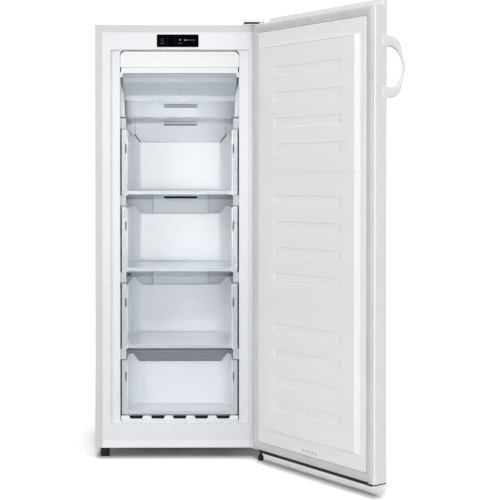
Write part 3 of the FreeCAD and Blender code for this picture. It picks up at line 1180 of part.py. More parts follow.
def handle():
    """D-shaped bow with two feet on the door's free edge."""
    def at(reach, z):
        return Vector(0, DOOR_FRONT_Y - reach, z)

    top, bottom, middle = HANDLE_TOP, HANDLE_BOTTOM, (HANDLE_TOP + HANDLE_BOTTOM) / 2
    corner, arm = HANDLE_CORNER, HANDLE_ARM
    bend = HANDLE_REACH - HANDLE_CROWN
    flat = bend - corner
    diagonal = corner / math.sqrt(2)
    inner_reach = HANDLE_REACH - HANDLE_BOW
    inner_bend = bend - HANDLE_BOW - 1
    inner_corner = HANDLE_INNER_CORNER
    inner_diagonal = inner_corner / math.sqrt(2)
    upper, lower = top - arm, bottom + arm
    edges = []

    def line(a, b):
        edges.append(Part.LineSegment(at(*a), at(*b)).toShape())

    def arc(a, b, c):
        edges.append(Part.Arc(at(*a), at(*b), at(*c)).toShape())

    line((-HANDLE_FOOT, top), (flat, top))
    arc((flat, top), (flat + diagonal, top - corner + diagonal), (bend, top - corner))
    arc((bend, top - corner), (HANDLE_REACH, middle), (bend, bottom + corner))
    arc((bend, bottom + corner), (flat + diagonal, bottom + corner - diagonal), (flat, bottom))
    line((flat, bottom), (-HANDLE_FOOT, bottom))
    line((-HANDLE_FOOT, bottom), (-HANDLE_FOOT, lower))
    line((-HANDLE_FOOT, lower), (inner_bend - inner_corner, lower))
    arc((inner_bend - inner_corner, lower), (inner_bend - inner_corner + inner_diagonal, lower + inner_corner - inner_diagonal),
        (inner_bend, lower + inner_corner))
    arc((inner_bend, lower + inner_corner), (inner_reach, middle), (inner_bend, upper - inner_corner))
    arc((inner_bend, upper - inner_corner),
        (inner_bend - inner_corner + inner_diagonal, upper - inner_corner + inner_diagonal),
        (inner_bend - inner_corner, upper))
    line((inner_bend - inner_corner, upper), (-HANDLE_FOOT, upper))
    line((-HANDLE_FOOT, upper), (-HANDLE_FOOT, top))
    outline = Part.Face(Part.Wire(edges))
    outline.translate(Vector(-HALF - HANDLE_PROUD, 0, 0))
    bow = outline.extrude(Vector(HANDLE_WIDTH, 0, 0))
    bow = bow.makeFillet(2.0, bow.Edges)
    return bow.cut(box(-HALF, HALF, DOOR_FRONT_Y, 0, bottom - 10, top + 10))


def handle_caps():
    caps = []
    for z in (HANDLE_TOP - HANDLE_ARM / 2, HANDLE_BOTTOM + HANDLE_ARM / 2):
        cap = cylinder(5.0, (-HALF - HANDLE_PROUD, DOOR_INNER_Y - 39.0, z), X_AXIS * -1, 1.2)
        caps.append(cap)
    return Part.makeCompound(caps)


# ---- write every piece ----
def main():
    pieces = {
        "left_side_panel": both_sides(side_panel())[1],
        "right_side_panel": side_panel(),
        "top_panel": top_panel(),
        "back_panel": back_panel(),
        "bottom_panel": bottom_panel(),
        "bottom_trim": bottom_trim(),
        "cabinet_foam": cabinet_foam(),
        "inner_liner": inner_liner(),
        "control_panel": control_panel(),
        "control_board": control_board(),
        "top_cover": top_cover(),
        "back_duct_cover": back_duct_cover(),
        "flap_shelf": flap_shelf(),
        "shelf_trim": shelf_trim(),
        "drawer_rails": drawer_rails(),
        "bottom_rack": bottom_rack(),
        "flap": flap(),
        "evaporator_fins": evaporator_fins(),
        "evaporator_tube": evaporator_tube(),
        "defrost_heater": defrost_heater(),
        "fan_motor": fan_motor(),
        "fan_blade": fan_blade(),
        "drain_tube": drain_tube(),
        "compressor": compressor(),
        "compressor_motor": compressor_motor(),
        "compressor_grommets": compressor_grommets(),
        "base_plate": base_plate(),
        "cord_bush": cord_bush(),
        "drip_tray": drip_tray(),
        "starter_box": starter_box(),
        "filter_drier": filter_drier(),
        "refrigerant_lines": refrigerant_lines(),
        "condenser_tubes": condenser_tubes(),
        "upper_hinge_bracket": upper_hinge_bracket(),
        "hinge_screws": hinge_screws(),
        "hinge_cover": hinge_cover(),
        "spare_hinge_cap": spare_hinge_cap(),
        "lower_hinge_bracket": lower_hinge_bracket(),
        "front_left_foot": front_left_foot(),
        "front_right_foot": front_right_foot(),
        "rear_feet": rear_feet(),
    }
    for number in range(1, DRAWER_COUNT + 1):
        bottom = RAIL_TOP - number * DRAWER_PITCH + CLEAR
        top = bottom + DRAWER_HEIGHT
        pieces["drawer_%d_tub" % number] = drawer_tub(top, bottom, TUB_BACK, True)
        pieces["drawer_%d_front" % number] = drawer_front(top, bottom)
    last, bottom, top = DRAWER_COUNT + 1, RACK_TOP + CLEAR, RAIL_BASE - SHORT_DRAWER_BELOW
    pieces["drawer_%d_tub" % last] = drawer_tub(top, bottom, SHORT_TUB_BACK, False)
    pieces["drawer_%d_front" % last] = drawer_front(top, bottom)

    door = {
        "door_skin": door_skin(),
        "door_top_cap": door_top_cap(),
        "door_bottom_cap": door_bottom_cap(),
        "door_foam": door_foam(),
        "door_liner": door_liner(),
        "door_gasket": door_gasket(),
        "door_handle": handle(),
        "handle_caps": handle_caps(),
        "hinge_bushes": hinge_bushes(),
    }
    for name, shape in door.items():
        shape.rotate(HINGE_POINT, Z_AXIS, DOOR_OPEN)
        pieces[name] = shape

    os.makedirs("parts", exist_ok=True)
    for name, shape in pieces.items():
        shape.exportStep("parts/%s.step" % name)
        solids = shape.Solids
        if not shape.isValid() or not solids:
            print("CHECK", name, "valid", shape.isValid(), "solids", len(solids))
    print("pieces", len(pieces), "hinge", round(HINGE_X, 3), round(HINGE_Y, 3))


main()
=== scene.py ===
import math

import bmesh
import bpy
from mathutils import Matrix, Vector


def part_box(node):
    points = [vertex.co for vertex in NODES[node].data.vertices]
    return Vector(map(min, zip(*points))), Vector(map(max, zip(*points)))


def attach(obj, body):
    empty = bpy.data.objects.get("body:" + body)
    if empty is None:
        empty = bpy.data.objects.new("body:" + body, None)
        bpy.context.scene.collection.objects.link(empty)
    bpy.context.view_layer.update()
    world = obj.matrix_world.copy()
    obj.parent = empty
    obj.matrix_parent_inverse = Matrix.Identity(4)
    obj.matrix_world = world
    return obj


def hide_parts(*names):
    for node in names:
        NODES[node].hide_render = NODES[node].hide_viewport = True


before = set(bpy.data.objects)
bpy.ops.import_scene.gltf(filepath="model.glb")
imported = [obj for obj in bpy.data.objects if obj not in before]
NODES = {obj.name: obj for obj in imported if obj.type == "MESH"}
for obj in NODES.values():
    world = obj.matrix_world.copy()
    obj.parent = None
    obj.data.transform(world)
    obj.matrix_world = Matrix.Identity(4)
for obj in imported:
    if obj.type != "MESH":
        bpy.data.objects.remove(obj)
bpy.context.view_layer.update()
DRAWERS = range(1, 5)
DOOR_ANGLE = math.radians(125.5)
HINGE = Vector((0.2643, -0.0300, 0.0))
# from the closed door's place to the photographed one
DOOR = Matrix.Translation(HINGE) @ Matrix.Rotation(DOOR_ANGLE, 4, "Z") @ Matrix.Translation(-HINGE)


# ---------------------------------------------------------------- materials
NOISE_LOW = 0.3
NOISE_HIGH = 0.7


def new_material(name):
    material = bpy.data.materials.new(name)
    material.use_nodes = True
    tree = material.node_tree
    tree.nodes.clear()
    out = tree.nodes.new("ShaderNodeOutputMaterial")
    shader = tree.nodes.new("ShaderNodeBsdfPrincipled")
    tree.links.new(shader.outputs["BSDF"], out.inputs["Surface"])
    return material, tree, shader


def place(tree, scale=(1, 1, 1)):
    """Object coordinates: every CAD object and every piece is in metres, so scales are per metre."""
    at = tree.nodes.new("ShaderNodeTexCoord")
    mapping = tree.nodes.new("ShaderNodeMapping")
    mapping.inputs["Scale"].default_value = scale
    tree.links.new(at.outputs["Object"], mapping.inputs["Vector"])
    return mapping.outputs["Vector"]


def noise(tree, vector, scale, detail=3.0, rough=0.5):
    texture = tree.nodes.new("ShaderNodeTexNoise")
    texture.inputs["Scale"].default_value = scale
    texture.inputs["Detail"].default_value = detail
    texture.inputs["Roughness"].default_value = rough
    tree.links.new(vector, texture.inputs["Vector"])
    return texture.outputs["Fac"]


def ramp(tree, fac, stops):
    """A colour for each value: every call gives two stops, as many as a new ramp has."""
    node = tree.nodes.new("ShaderNodeValToRGB")
    for element, (at, colour) in zip(node.color_ramp.elements, stops):
        element.position = at
        element.color = tuple(colour) + (1.0,)
    tree.links.new(fac, node.inputs["Fac"])
    return node.outputs["Color"]


def span(tree, fac, low, high):
    """Stretch the middle of a noise, where nearly all of it lies, to a range of values."""
    node = tree.nodes.new("ShaderNodeMapRange")
    node.inputs["From Min"].default_value = NOISE_LOW
    node.inputs["From Max"].default_value = NOISE_HIGH
    node.inputs["To Min"].default_value = low
    node.inputs["To Max"].default_value = high
    tree.links.new(fac, node.inputs["Value"])
    return node.outputs["Result"]


def bump(tree, shader, height, strength, distance):
    node = tree.nodes.new("ShaderNodeBump")
    node.inputs["Strength"].default_value = strength
    node.inputs["Distance"].default_value = distance
    tree.links.new(height, node.inputs["Height"])
    tree.links.new(node.outputs["Normal"], shader.inputs["Normal"])


def shade(colour, factor):
    return tuple(min(1.0, c * factor) for c in colour)


def coated(name, colour, low, high, fine, strength, coat=0.0, drift=0.03, specular=0.5):
    """A moulded or painted surface: slight drift of colour, uneven gloss and a fine skin texture.

    Its roughness wanders from low to high. The skin texture has the scale "fine", as strong as "strength".
    """
    material, tree, shader = new_material(name)
    at = place(tree)
    broad = noise(tree, at, 3.0, 4.0, 0.6)
    colours = ramp(tree, broad, [(NOISE_LOW, shade(colour, 1.0 - drift)),
                                 (NOISE_HIGH, shade(colour, 1.0 + drift))])
    tree.links.new(colours, shader.inputs["Base Color"])
    tree.links.new(span(tree, noise(tree, at, 38.0, 5.0, 0.65), low, high), shader.inputs["Roughness"])
    bump(tree, shader, noise(tree, at, fine, 2.0, 0.5), strength, 0.0006)
    shader.inputs["Coat Weight"].default_value = coat
    shader.inputs["Coat Roughness"].default_value = 0.12
    shader.inputs["Specular IOR Level"].default_value = specular
    return material


def paint_depth_shade(material, colour, start, end):
    """Painted shade: let a liner's colour fall off with depth, standing in for the shade in the narrow
    gaps beside the drawers.
    """
    tree = material.node_tree
    shader = next(node for node in tree.nodes if node.type == "BSDF_PRINCIPLED")
    parts = tree.nodes.new("ShaderNodeSeparateXYZ")
    tree.links.new(place(tree), parts.inputs["Vector"])
    depth = tree.nodes.new("ShaderNodeMapRange")
    depth.inputs["From Min"].default_value = start
    depth.inputs["From Max"].default_value = end
    tree.links.new(parts.outputs["Y"], depth.inputs["Value"])
    mix = tree.nodes.new("ShaderNodeMix")
    mix.data_type = "RGBA"
    before = shader.inputs["Base Color"].links[0].from_socket
    tree.links.new(depth.outputs["Result"], mix.inputs["Factor"])
    shallow, deep = [i for i in mix.inputs if i.type == "RGBA"]
    deep.default_value = tuple(colour) + (1.0,)
    tree.links.new(before, shallow)
    mixed = [o for o in mix.outputs if o.type == "RGBA"][0]
    tree.links.new(mixed, shader.inputs["Base Color"])


def clear_plastic(name, colour, alpha_face, alpha_edge, rough=0.10):
    """Injection moulded clear plastic: more of it is seen edge on, with faint flow lines."""
    material, tree, shader = new_material(name)
    at = place(tree)
    flow = noise(tree, place(tree, (6.0, 6.0, 40.0)), 4.0, 4.0, 0.6)
    colours = ramp(tree, flow, [(NOISE_LOW, shade(colour, 0.97)), (NOISE_HIGH, shade(colour, 1.02))])
    tree.links.new(colours, shader.inputs["Base Color"])
    weight = tree.nodes.new("ShaderNodeLayerWeight")
    weight.inputs["Blend"].default_value = 0.30
    alpha = tree.nodes.new("ShaderNodeMapRange")
    alpha.inputs["To Min"].default_value = alpha_face
    alpha.inputs["To Max"].default_value = alpha_edge
    tree.links.new(weight.outputs["Facing"], alpha.inputs["Value"])
    tree.links.new(alpha.outputs["Result"], shader.inputs["Alpha"])
    gloss = span(tree, noise(tree, at, 30.0, 4.0, 0.6), rough * 0.7, rough * 1.5)
    tree.links.new(gloss, shader.inputs["Roughness"])
    bump(tree, shader, flow, 0.04, 0.001)
    shader.inputs["IOR"].default_value = 1.50
    return material


def brushed(name, colour, low, high, scale=(4.0, 4.0, 260.0)):
    """Bare metal with fine lines, drawn out along the axes where the scale is small."""
    material, tree, shader = new_material(name)
    lines = noise(tree, place(tree, scale), 6.0, 4.0, 0.7)
    colours = ramp(tree, lines, [(NOISE_LOW, shade(colour, 0.9)), (NOISE_HIGH, shade(colour, 1.08))])
    tree.links.new(colours, shader.inputs["Base Color"])
    tree.links.new(span(tree, lines, low, high), shader.inputs["Roughness"])
    bump(tree, shader, lines, 0.12, 0.0004)
    shader.inputs["Metallic"].default_value = 1.0
    return material


def galvanised(name, colour):
    """Zinc coated sheet with its flat crystals."""
    material, tree, shader = new_material(name)
    at = place(tree)
    cells = tree.nodes.new("ShaderNodeTexVoronoi")
    cells.inputs["Scale"].default_value = 90.0
    tree.links.new(at, cells.inputs["Vector"])
    grey = tree.nodes.new("ShaderNodeSeparateColor")
    tree.links.new(cells.outputs["Color"], grey.inputs["Color"])
    tone = grey.outputs["Red"]
    colours = ramp(tree, tone, [(0.0, shade(colour, 0.82)), (1.0, shade(colour, 1.12))])
    tree.links.new(colours, shader.inputs["Base Color"])
    tree.links.new(ramp(tree, tone, [(0.0, (0.30,) * 3), (1.0, (0.48,) * 3)]), shader.inputs["Roughness"])
    bump(tree, shader, noise(tree, at, 240.0), 0.08, 0.0004)
    shader.inputs["Metallic"].default_value = 1.0
    return material


def foam_material(name, colour):
    """Rigid insulation foam with its fine cells."""
    material, tree, shader = new_material(name)
    at = place(tree)
    cells = tree.nodes.new("ShaderNodeTexVoronoi")
    cells.inputs["Scale"].default_value = 700.0
    tree.links.new(at, cells.inputs["Vector"])
    colours = ramp(tree, noise(tree, at, 14.0), [(NOISE_LOW, shade(colour, 0.88)), (NOISE_HIGH, colour)])
    tree.links.new(colours, shader.inputs["Base Color"])
    tree.links.new(span(tree, noise(tree, at, 60.0), 0.75, 0.92), shader.inputs["Roughness"])
    bump(tree, shader, cells.outputs["Distance"], 0.5, 0.001)
    return material


def soft_seal(name, colour):
    """Grey-white vinyl seal: matt, a little dirtier in places."""
    material, tree, shader = new_material(name)
    at = place(tree)
    broad = noise(tree, at, 9.0, 5.0, 0.65)
    colours = ramp(tree, broad, [(0.32, shade(colour, 0.9)), (0.68, shade(colour, 1.05))])
    tree.links.new(colours, shader.inputs["Base Color"])
    tree.links.new(span(tree, noise(tree, at, 70.0), 0.42, 0.6), shader.inputs["Roughness"])
    bump(tree, shader, noise(tree, at, 500.0), 0.12, 0.0005)
    shader.inputs["Sheen Weight"].default_value = 0.15
    return material


# Copies of one white paint: the cabinet's is darker, painted shade for the stronger light on its front,
# and the door's lighter, painted light for its turned face.
PAINT = coated("cabinet_paint", (0.575, 0.59, 0.58), 0.30, 0.38, 700.0, 0.06, coat=0.10, drift=0.012)
PAINT_DOOR = coated("door_paint", (0.80, 0.805, 0.80), 0.42, 0.50, 700.0, 0.06, drift=0.012, specular=0.25)
BACK_STEEL = galvanised("galvanised_back", (0.50, 0.51, 0.52))
# The liner and the door liner are copies of one white plastic: the liner's is darker, painted shade for
# the light on the cabinet's front, and the door liner's lighter, painted light for the door's turned face.
LINER = coated("liner_plastic", (0.73, 0.745, 0.765), 0.26, 0.32, 1200.0, 0.02, drift=0.010)
# Painted shade: the liner goes dark behind its front, for the shade inside the cavity and beside the
# drawers.
paint_depth_shade(LINER, (0.080, 0.105, 0.135), 0.018, 0.060)
COVER_WHITE = coated("cover_plastic", (0.80, 0.81, 0.825), 0.34, 0.42, 1200.0, 0.03, drift=0.012)
DUCT_WHITE = coated("duct_plastic", (0.80, 0.855, 0.91), 0.30, 0.38, 1200.0, 0.03, drift=0.012)
DOOR_LINER = coated("door_liner_plastic", (0.83, 0.84, 0.855), 0.30, 0.36, 1200.0, 0.012, drift=0.010)
TRIM_WHITE = coated("trim_plastic", (0.80, 0.815, 0.825), 0.34, 0.46, 1500.0, 0.10, drift=0.015)
HANDLE_WHITE = coated("handle_plastic", (0.86, 0.865, 0.865), 0.36, 0.44, 1200.0, 0.02, drift=0.015,
                      specular=0.3)
# Painted shade: the white rails and shelf trim get a grey, for the shade they stand in beside the drawers.
RAIL_WHITE = coated("rail_plastic", (0.52, 0.56, 0.60), 0.32, 0.44, 1200.0, 0.05, drift=0.02)
BLACK_GLASS = coated("black_glass", (0.002, 0.002, 0.003), 0.06, 0.10, 300.0, 0.01, drift=0.1,
                     specular=0.0)
GREY_PLASTIC = coated("grey_plastic", (0.46, 0.48, 0.50), 0.42, 0.55, 1500.0, 0.15, drift=0.04)
DARK_PLASTIC = coated("dark_plastic", (0.010, 0.010, 0.011), 0.45, 0.60, 1500.0, 0.2, drift=0.15,
                      specular=0.2)
BLACK_PAINT = coated("black_paint", (0.016, 0.017, 0.018), 0.32, 0.46, 500.0, 0.25, drift=0.12)
RUBBER = coated("black_rubber", (0.020, 0.020, 0.020), 0.65, 0.82, 900.0, 0.3, drift=0.2)
FOAM = foam_material("insulation_foam", (0.86, 0.77, 0.50))
SEAL = soft_seal("door_seal", (0.60, 0.61, 0.62))
ALUMINIUM = brushed("aluminium_fin", (0.80, 0.81, 0.82), 0.28, 0.42)
ZINC = galvanised("zinc_steel", (0.66, 0.67, 0.68))
STEEL = brushed("turned_steel", (0.60, 0.60, 0.61), 0.25, 0.40, (40.0, 40.0, 40.0))
COPPER = brushed("copper_tube", (0.86, 0.45, 0.28), 0.24, 0.42, (30.0, 30.0, 30.0))
TUB_CLEAR = clear_plastic("drawer_plastic", (0.85, 0.885, 0.915), 0.80, 0.97)
FRONT_CLEAR = clear_plastic("drawer_front_plastic", (0.89, 0.92, 0.95), 0.06, 0.60)
FLAP_CLEAR = clear_plastic("flap_plastic", (0.78, 0.86, 0.95), 0.12, 0.70)
GLASS = clear_plastic("shelf_glass", (0.78, 0.85, 0.89), 0.08, 0.60, 0.03)
MARGIN_CLEAR = clear_plastic("drawer_margin_plastic", (0.74, 0.78, 0.83), 0.45, 0.85)
# Painted shade: near-black for places that are only in shade, behind the rack's notches and the duct's
# slots, and on the top drawer's dip edges.
SHADE_BLACK = coated("painted_shade_black", (0.010, 0.012, 0.018), 0.50, 0.60, 1200.0, 0.02, drift=0.1,
                   specular=0.1)
EDGE_DARK = coated("edge_shadow_plastic", (0.10, 0.115, 0.135), 0.30, 0.40, 1200.0, 0.02, drift=0.05)
# Painted shade: grey for the dark lines where shade falls along edges, on the shelf, the raised panel and
# the lower drawers' dips.
SHADE_GREY = coated("painted_shade_grey", (0.38, 0.42, 0.46), 0.30, 0.40, 1200.0, 0.02, drift=0.05)

MATERIAL_NODES = (
    (PAINT, "left_side_panel right_side_panel top_panel"),
    (BACK_STEEL, "back_panel bottom_panel"),
    (PAINT_DOOR, "door_skin"),
    (LINER, "inner_liner"),
    (COVER_WHITE, "top_cover"),
    (DUCT_WHITE, "back_duct_cover"),
    (DOOR_LINER, "door_liner"),
    (RAIL_WHITE, "drawer_rails shelf_trim"),
    (TRIM_WHITE, "bottom_rack bottom_trim door_top_cap hinge_cover spare_hinge_cap"),
    (HANDLE_WHITE, "door_handle handle_caps"),
    (BLACK_GLASS, "control_panel"),
    (GREY_PLASTIC, "control_board hinge_bushes drain_tube fan_blade drip_tray"),
    (DARK_PLASTIC, "door_bottom_cap cord_bush starter_box front_left_foot front_right_foot rear_feet"),
    (BLACK_PAINT, "compressor"),
    (RUBBER, "compressor_grommets"),
    (FOAM, "cabinet_foam door_foam"),
    (SEAL, "door_gasket"),
    (ALUMINIUM, "evaporator_fins evaporator_tube"),
    (ZINC, "base_plate upper_hinge_bracket lower_hinge_bracket"),
    (STEEL, "hinge_screws defrost_heater fan_motor compressor_motor"),
    (COPPER, "condenser_tubes filter_drier refrigerant_lines"),
    (FLAP_CLEAR, "flap"),
    (GLASS, "flap_shelf"),
    (TUB_CLEAR, " ".join("drawer_%d_tub" % number for number in DRAWERS)),
    (FRONT_CLEAR, " ".join("drawer_%d_front" % number for number in DRAWERS)),
)
NODE_MATERIAL = {name: material for material, names in MATERIAL_NODES for name in names.split()}
for name, node in NODES.items():
    for index in range(len(node.material_slots)):
        node.material_slots[index].material = NODE_MATERIAL[name]


# ---------------------------------------------------------------- mesh helpers
def finish_piece(bm, name, material, body):
    """Turn a bmesh into a named piece that rides on a body and takes its finish from a slot."""
    mesh = bpy.data.meshes.new(name)
    bmesh.ops.recalc_face_normals(bm, faces=bm.faces)
    bm.to_mesh(mesh)
    bm.free()
    piece = bpy.data.objects.new(name, mesh)
    bpy.context.scene.collection.objects.link(piece)
    mesh.materials.append(material)
    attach(piece, body)
    return piece


def join_rings(bm, rings):
    """Faces between equal rings of points, and a cap at each end."""
    for low, high in zip(rings, rings[1:]):
        for i in range(len(low)):
            j = (i + 1) % len(low)
            bm.faces.new((low[i], low[j], high[j], high[i]))
    bm.faces.new(rings[0][::-1])
    bm.faces.new(rings[-1])


def add_block(bm, low, high, turn=None):
    """An axis-aligned block between two corners, optionally moved by a matrix."""
    made = bmesh.ops.create_cube(bm, size=1.0)["verts"]
    centre = [(a + b) / 2 for a, b in zip(low, high)]
    size = [b - a for a, b in zip(low, high)]
    for v in made:
        v.co = Vector([along * full + middle for along, full, middle in zip(v.co, size, centre)])
        if turn is not None:
            v.co = turn @ v.co


def add_lathe(bm, profile, at, axis, steps, turn=None):
    """A body of revolution about Y or Z from (radius, height) pairs."""
    rings = []
    for r, h in profile:
        ring = []
        for i in range(steps):
            a = 2 * math.pi * i / steps
            u, v = r * math.cos(a), r * math.sin(a)
            p = Vector((u, v, h) if axis == "Z" else (u, h, v)) + Vector(at)
            ring.append(bm.verts.new(turn @ p if turn is not None else p))
        rings.append(ring)
    join_rings(bm, rings)


def add_prism(bm, outline, y0, y1):
    """An outline of (x, z) points, carried from y0 to y1."""
    rings = [[bm.verts.new((x, y, z)) for x, z in outline] for y in (y0, y1)]
    join_rings(bm, rings)


# ---------------------------------------------------------------- control panel marks
MARK_PROUD = 0.0002
MARK_SUNK = 0.0001
# places and sizes on the strip, in millimetres from its upper left corner
DIVIDER_COLUMNS = (33.5, 61.0)
DIVIDER_TOP = 6.0
DIVIDER_PITCH = 3.8
DIVIDER_DOTS = 8
PRINTED_BARS = ((11.0, 28.6, 14.0, 1.3), (70.0, 28.6, 12.0, 1.3), (100.0, 18.2, 24.0, 1.8))
TRIANGLE_AT = (18.5, 18.5)
LIT_BAR_AT = (88.5, 18.2)
STAR_AT = (76.0, 17.0)
# sizes of single marks, in metres
DOT_RADIUS = 0.0004
DOT_STEPS = 10
TRIANGLE_HALF = 0.0045
TRIANGLE_SIDE = (-0.0030, -0.0024)
LIT_BAR_LENGTH = 0.0100
LIT_BAR_HALF = 0.0010
STAR_REACH = 0.0034
STAR_HALF = 0.0003


def control_marks():
    """Plain generic marks on the black strip: dividers of dots, bars and a triangle, then the lit ones."""
    low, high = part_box("control_panel")
    face = low.y
    grey = coated("print_grey", (0.13, 0.135, 0.14), 0.40, 0.50, 1500.0, 0.05, specular=0.05)
    bright = coated("print_white", (0.42, 0.44, 0.46), 0.40, 0.50, 1500.0, 0.05, specular=0.05)

    def at(px, py):
        """Place on the strip, in millimetres from its upper left corner."""
        return low.x + px / 1000, high.z - py / 1000

    bm = bmesh.new()
    for column in DIVIDER_COLUMNS:
        for row in range(DIVIDER_DOTS):
            x, z = at(column, DIVIDER_TOP + row * DIVIDER_PITCH)
            dot = [(0.0, -MARK_PROUD), (DOT_RADIUS, -MARK_PROUD), (DOT_RADIUS, MARK_SUNK)]
            add_lathe(bm, dot, (x, face, z), "Y", DOT_STEPS)
    for px, py, width, height in PRINTED_BARS:
        x, z = at(px, py)
        add_block(bm, (x, face - MARK_PROUD, z - height / 2000),
                  (x + width / 1000, face + MARK_SUNK, z + height / 2000))
    x, z = at(*TRIANGLE_AT)
    for side in range(3):
        turn = Matrix.Translation((x, face, z)) @ Matrix.Rotation(side * 2 * math.pi / 3, 4, "Y")
        add_block(bm, (-TRIANGLE_HALF, -MARK_PROUD, TRIANGLE_SIDE[0]),
                  (TRIANGLE_HALF, MARK_SUNK, TRIANGLE_SIDE[1]), turn)
    finish_piece(bm, "control_marks", grey, "cabinet")

    bm = bmesh.new()
    x, z = at(*LIT_BAR_AT)
    add_block(bm, (x, face - MARK_PROUD, z - LIT_BAR_HALF),
              (x + LIT_BAR_LENGTH, face + MARK_SUNK, z + LIT_BAR_HALF))
    x, z = at(*STAR_AT)
    for arm in range(3):
        turn = Matrix.Translation((x, face, z)) @ Matrix.Rotation(arm * math.pi / 3, 4, "Y")
        add_block(bm, (-STAR_REACH, -MARK_PROUD, -STAR_HALF), (STAR_REACH, MARK_SUNK, STAR_HALF), turn)
    finish_piece(bm, "control_lights", bright, "cabinet")


control_marks()


# ---------------------------------------------------------------- inside
RAIL_TOPS = (1.114, 0.862, 0.610, 0.358)
RAIL_DEEP = 0.036

MARGIN_HALF = 0.1736
MARGIN_SIDE_GAP = 0.0006
MARGIN_FOOT_GAP = 0.0035
MARGIN_HEAD_GAP = 0.0010
MARGIN_FOOT_TOP = 0.0110
MARGIN_FRONT = 0.0191
MARGIN_SIDE_BACK = 0.0212
MARGIN_FOOT_BACK = 0.0208
CLIP_SLOT_LOW = 0.0995               # both measured down from the top of the drawer's front
CLIP_SLOT_HIGH = 0.0715
CLIP_SLOT_DEPTH = 0.0046

TUB_BACKS = (0.3455, 0.3455, 0.3455, 0.1555)
TUB_CORNER = 0.040
TUB_HALF = 0.1734
DIP_HALF = TUB_HALF - 0.0352         # half width of the dip along its bottom
DIP_SPREAD = 0.0212                  # what each side gains up to the dip's top
DIP_BOTTOM = 0.0555                  # both measured down from the top of the drawer's front
DIP_TOP = 0.0270
DIP_STEPS = 8
DIP_THICK = 0.0024
DIP_THICK_TOP_DRAWER = 0.0060
DIP_INSIDE = 0.0034
DIP_OUTSIDE = 0.0004
DIP_FLOOR_INSIDE = 0.0029
DIP_FLOOR_LOW = 0.0014
DIP_FLOOR_HIGH = 0.0002

# Painted shade: the place of the near-black block behind the rack's notches.
WELL_INSET = 0.004
WELL_FRONT = 0.0225
WELL_BACK = 0.0235
WELL_FLOOR = 0.0022
WELL_CEILING = 0.0012

# Painted shade: the dark strips behind the duct cover's slots.
SLOT_SHADE_HALF = 0.0605
SLOT_SHADE_THICK = 0.0012
SLOT_SHADE_OVERLAP = 0.0012
SLOT_SHADES = ((1.1804, 0.004, 0.3830), (1.1732, 0.004, 0.3830), (1.1094, 0.0064, 0.3830),
           (0.8495, 0.008, 0.3652))  # height of the middle, height of the slot, front plane
# Painted shadow lines on the duct cover.
DUCT_LINE_FRONT = 0.3790
DUCT_LINE = (1.1298, 1.1330)
DUCT_SHADE_SIDES = (-0.1625, 0.1613)
DUCT_SHADE_WIDTH = 0.0012
DUCT_SHADE_FRONT = 0.3788
DUCT_SHADE_SPAN = (1.0740, 1.1120)
DUCT_FACE = 0.3799

# Painted shadow: the dark bar along the shelf's front.
SHELF_EDGE_HALF = 0.1680
SHELF_EDGE_LOW = 1.1146
SHELF_EDGE_HIGH = 1.1168
SHELF_EDGE_FRONT = 0.0226
SHELF_EDGE_BACK = 0.0239

BRACKET_LINE = [(0.1780, 1.1190), (0.1780, 1.1310), (0.1784, 1.1560), (0.1805, 1.1820), (0.1862, 1.2060),
                (0.1915, 1.2270)]
BRACKET_WALL = [(0.1938, 1.2420), (0.1938, 1.1190)]
BRACKET_FRONT = 0.0262
BRACKET_BACK = 0.0290
BRACKET_EDGE = 0.0014
BRACKET_EDGE_FRONT = 0.0255
BRACKET_EDGE_BACK = 0.0261


def bar_outline(half, low, high):
    """Outline of an upright bar centred on X."""
    return [(-half, low), (half, low), (half, high), (-half, high)]


def drawer_margins():
    """Milky margins moulded behind each clear front: both sides, with their clip slots, and the foot."""
    for number in DRAWERS:
        low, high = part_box("drawer_%d_front" % number)
        outer = high.x - MARGIN_SIDE_GAP
        foot = low.z + MARGIN_FOOT_GAP
        head = RAIL_TOPS[number - 1] - RAIL_DEEP - MARGIN_HEAD_GAP
        slot_low = high.z - CLIP_SLOT_LOW
        slot_high = high.z - CLIP_SLOT_HIGH
        slot_side = MARGIN_HALF + CLIP_SLOT_DEPTH
        outline = [(MARGIN_HALF, foot), (outer, foot), (outer, head), (MARGIN_HALF, head),
                   (MARGIN_HALF, slot_high), (slot_side, slot_high), (slot_side, slot_low),
                   (MARGIN_HALF, slot_low)]
        bm = bmesh.new()
        for side in (-1, 1):
            add_prism(bm, [(side * x, z) for x, z in outline], MARGIN_FRONT, MARGIN_SIDE_BACK)
        add_prism(bm, bar_outline(MARGIN_HALF, foot, low.z + MARGIN_FOOT_TOP), MARGIN_FRONT,
                  MARGIN_FOOT_BACK)
        finish_piece(bm, "drawer_%d_margins" % number, MARGIN_CLEAR, "drawer_%d" % number)


def tub_wall(x, back, radius):
    """Depth of a tub's rear wall at x, round its corner, for one of the wall's two faces."""
    centre = TUB_HALF - TUB_CORNER
    return back - TUB_CORNER + math.sqrt(radius ** 2 - max(0.0, x - centre) ** 2)


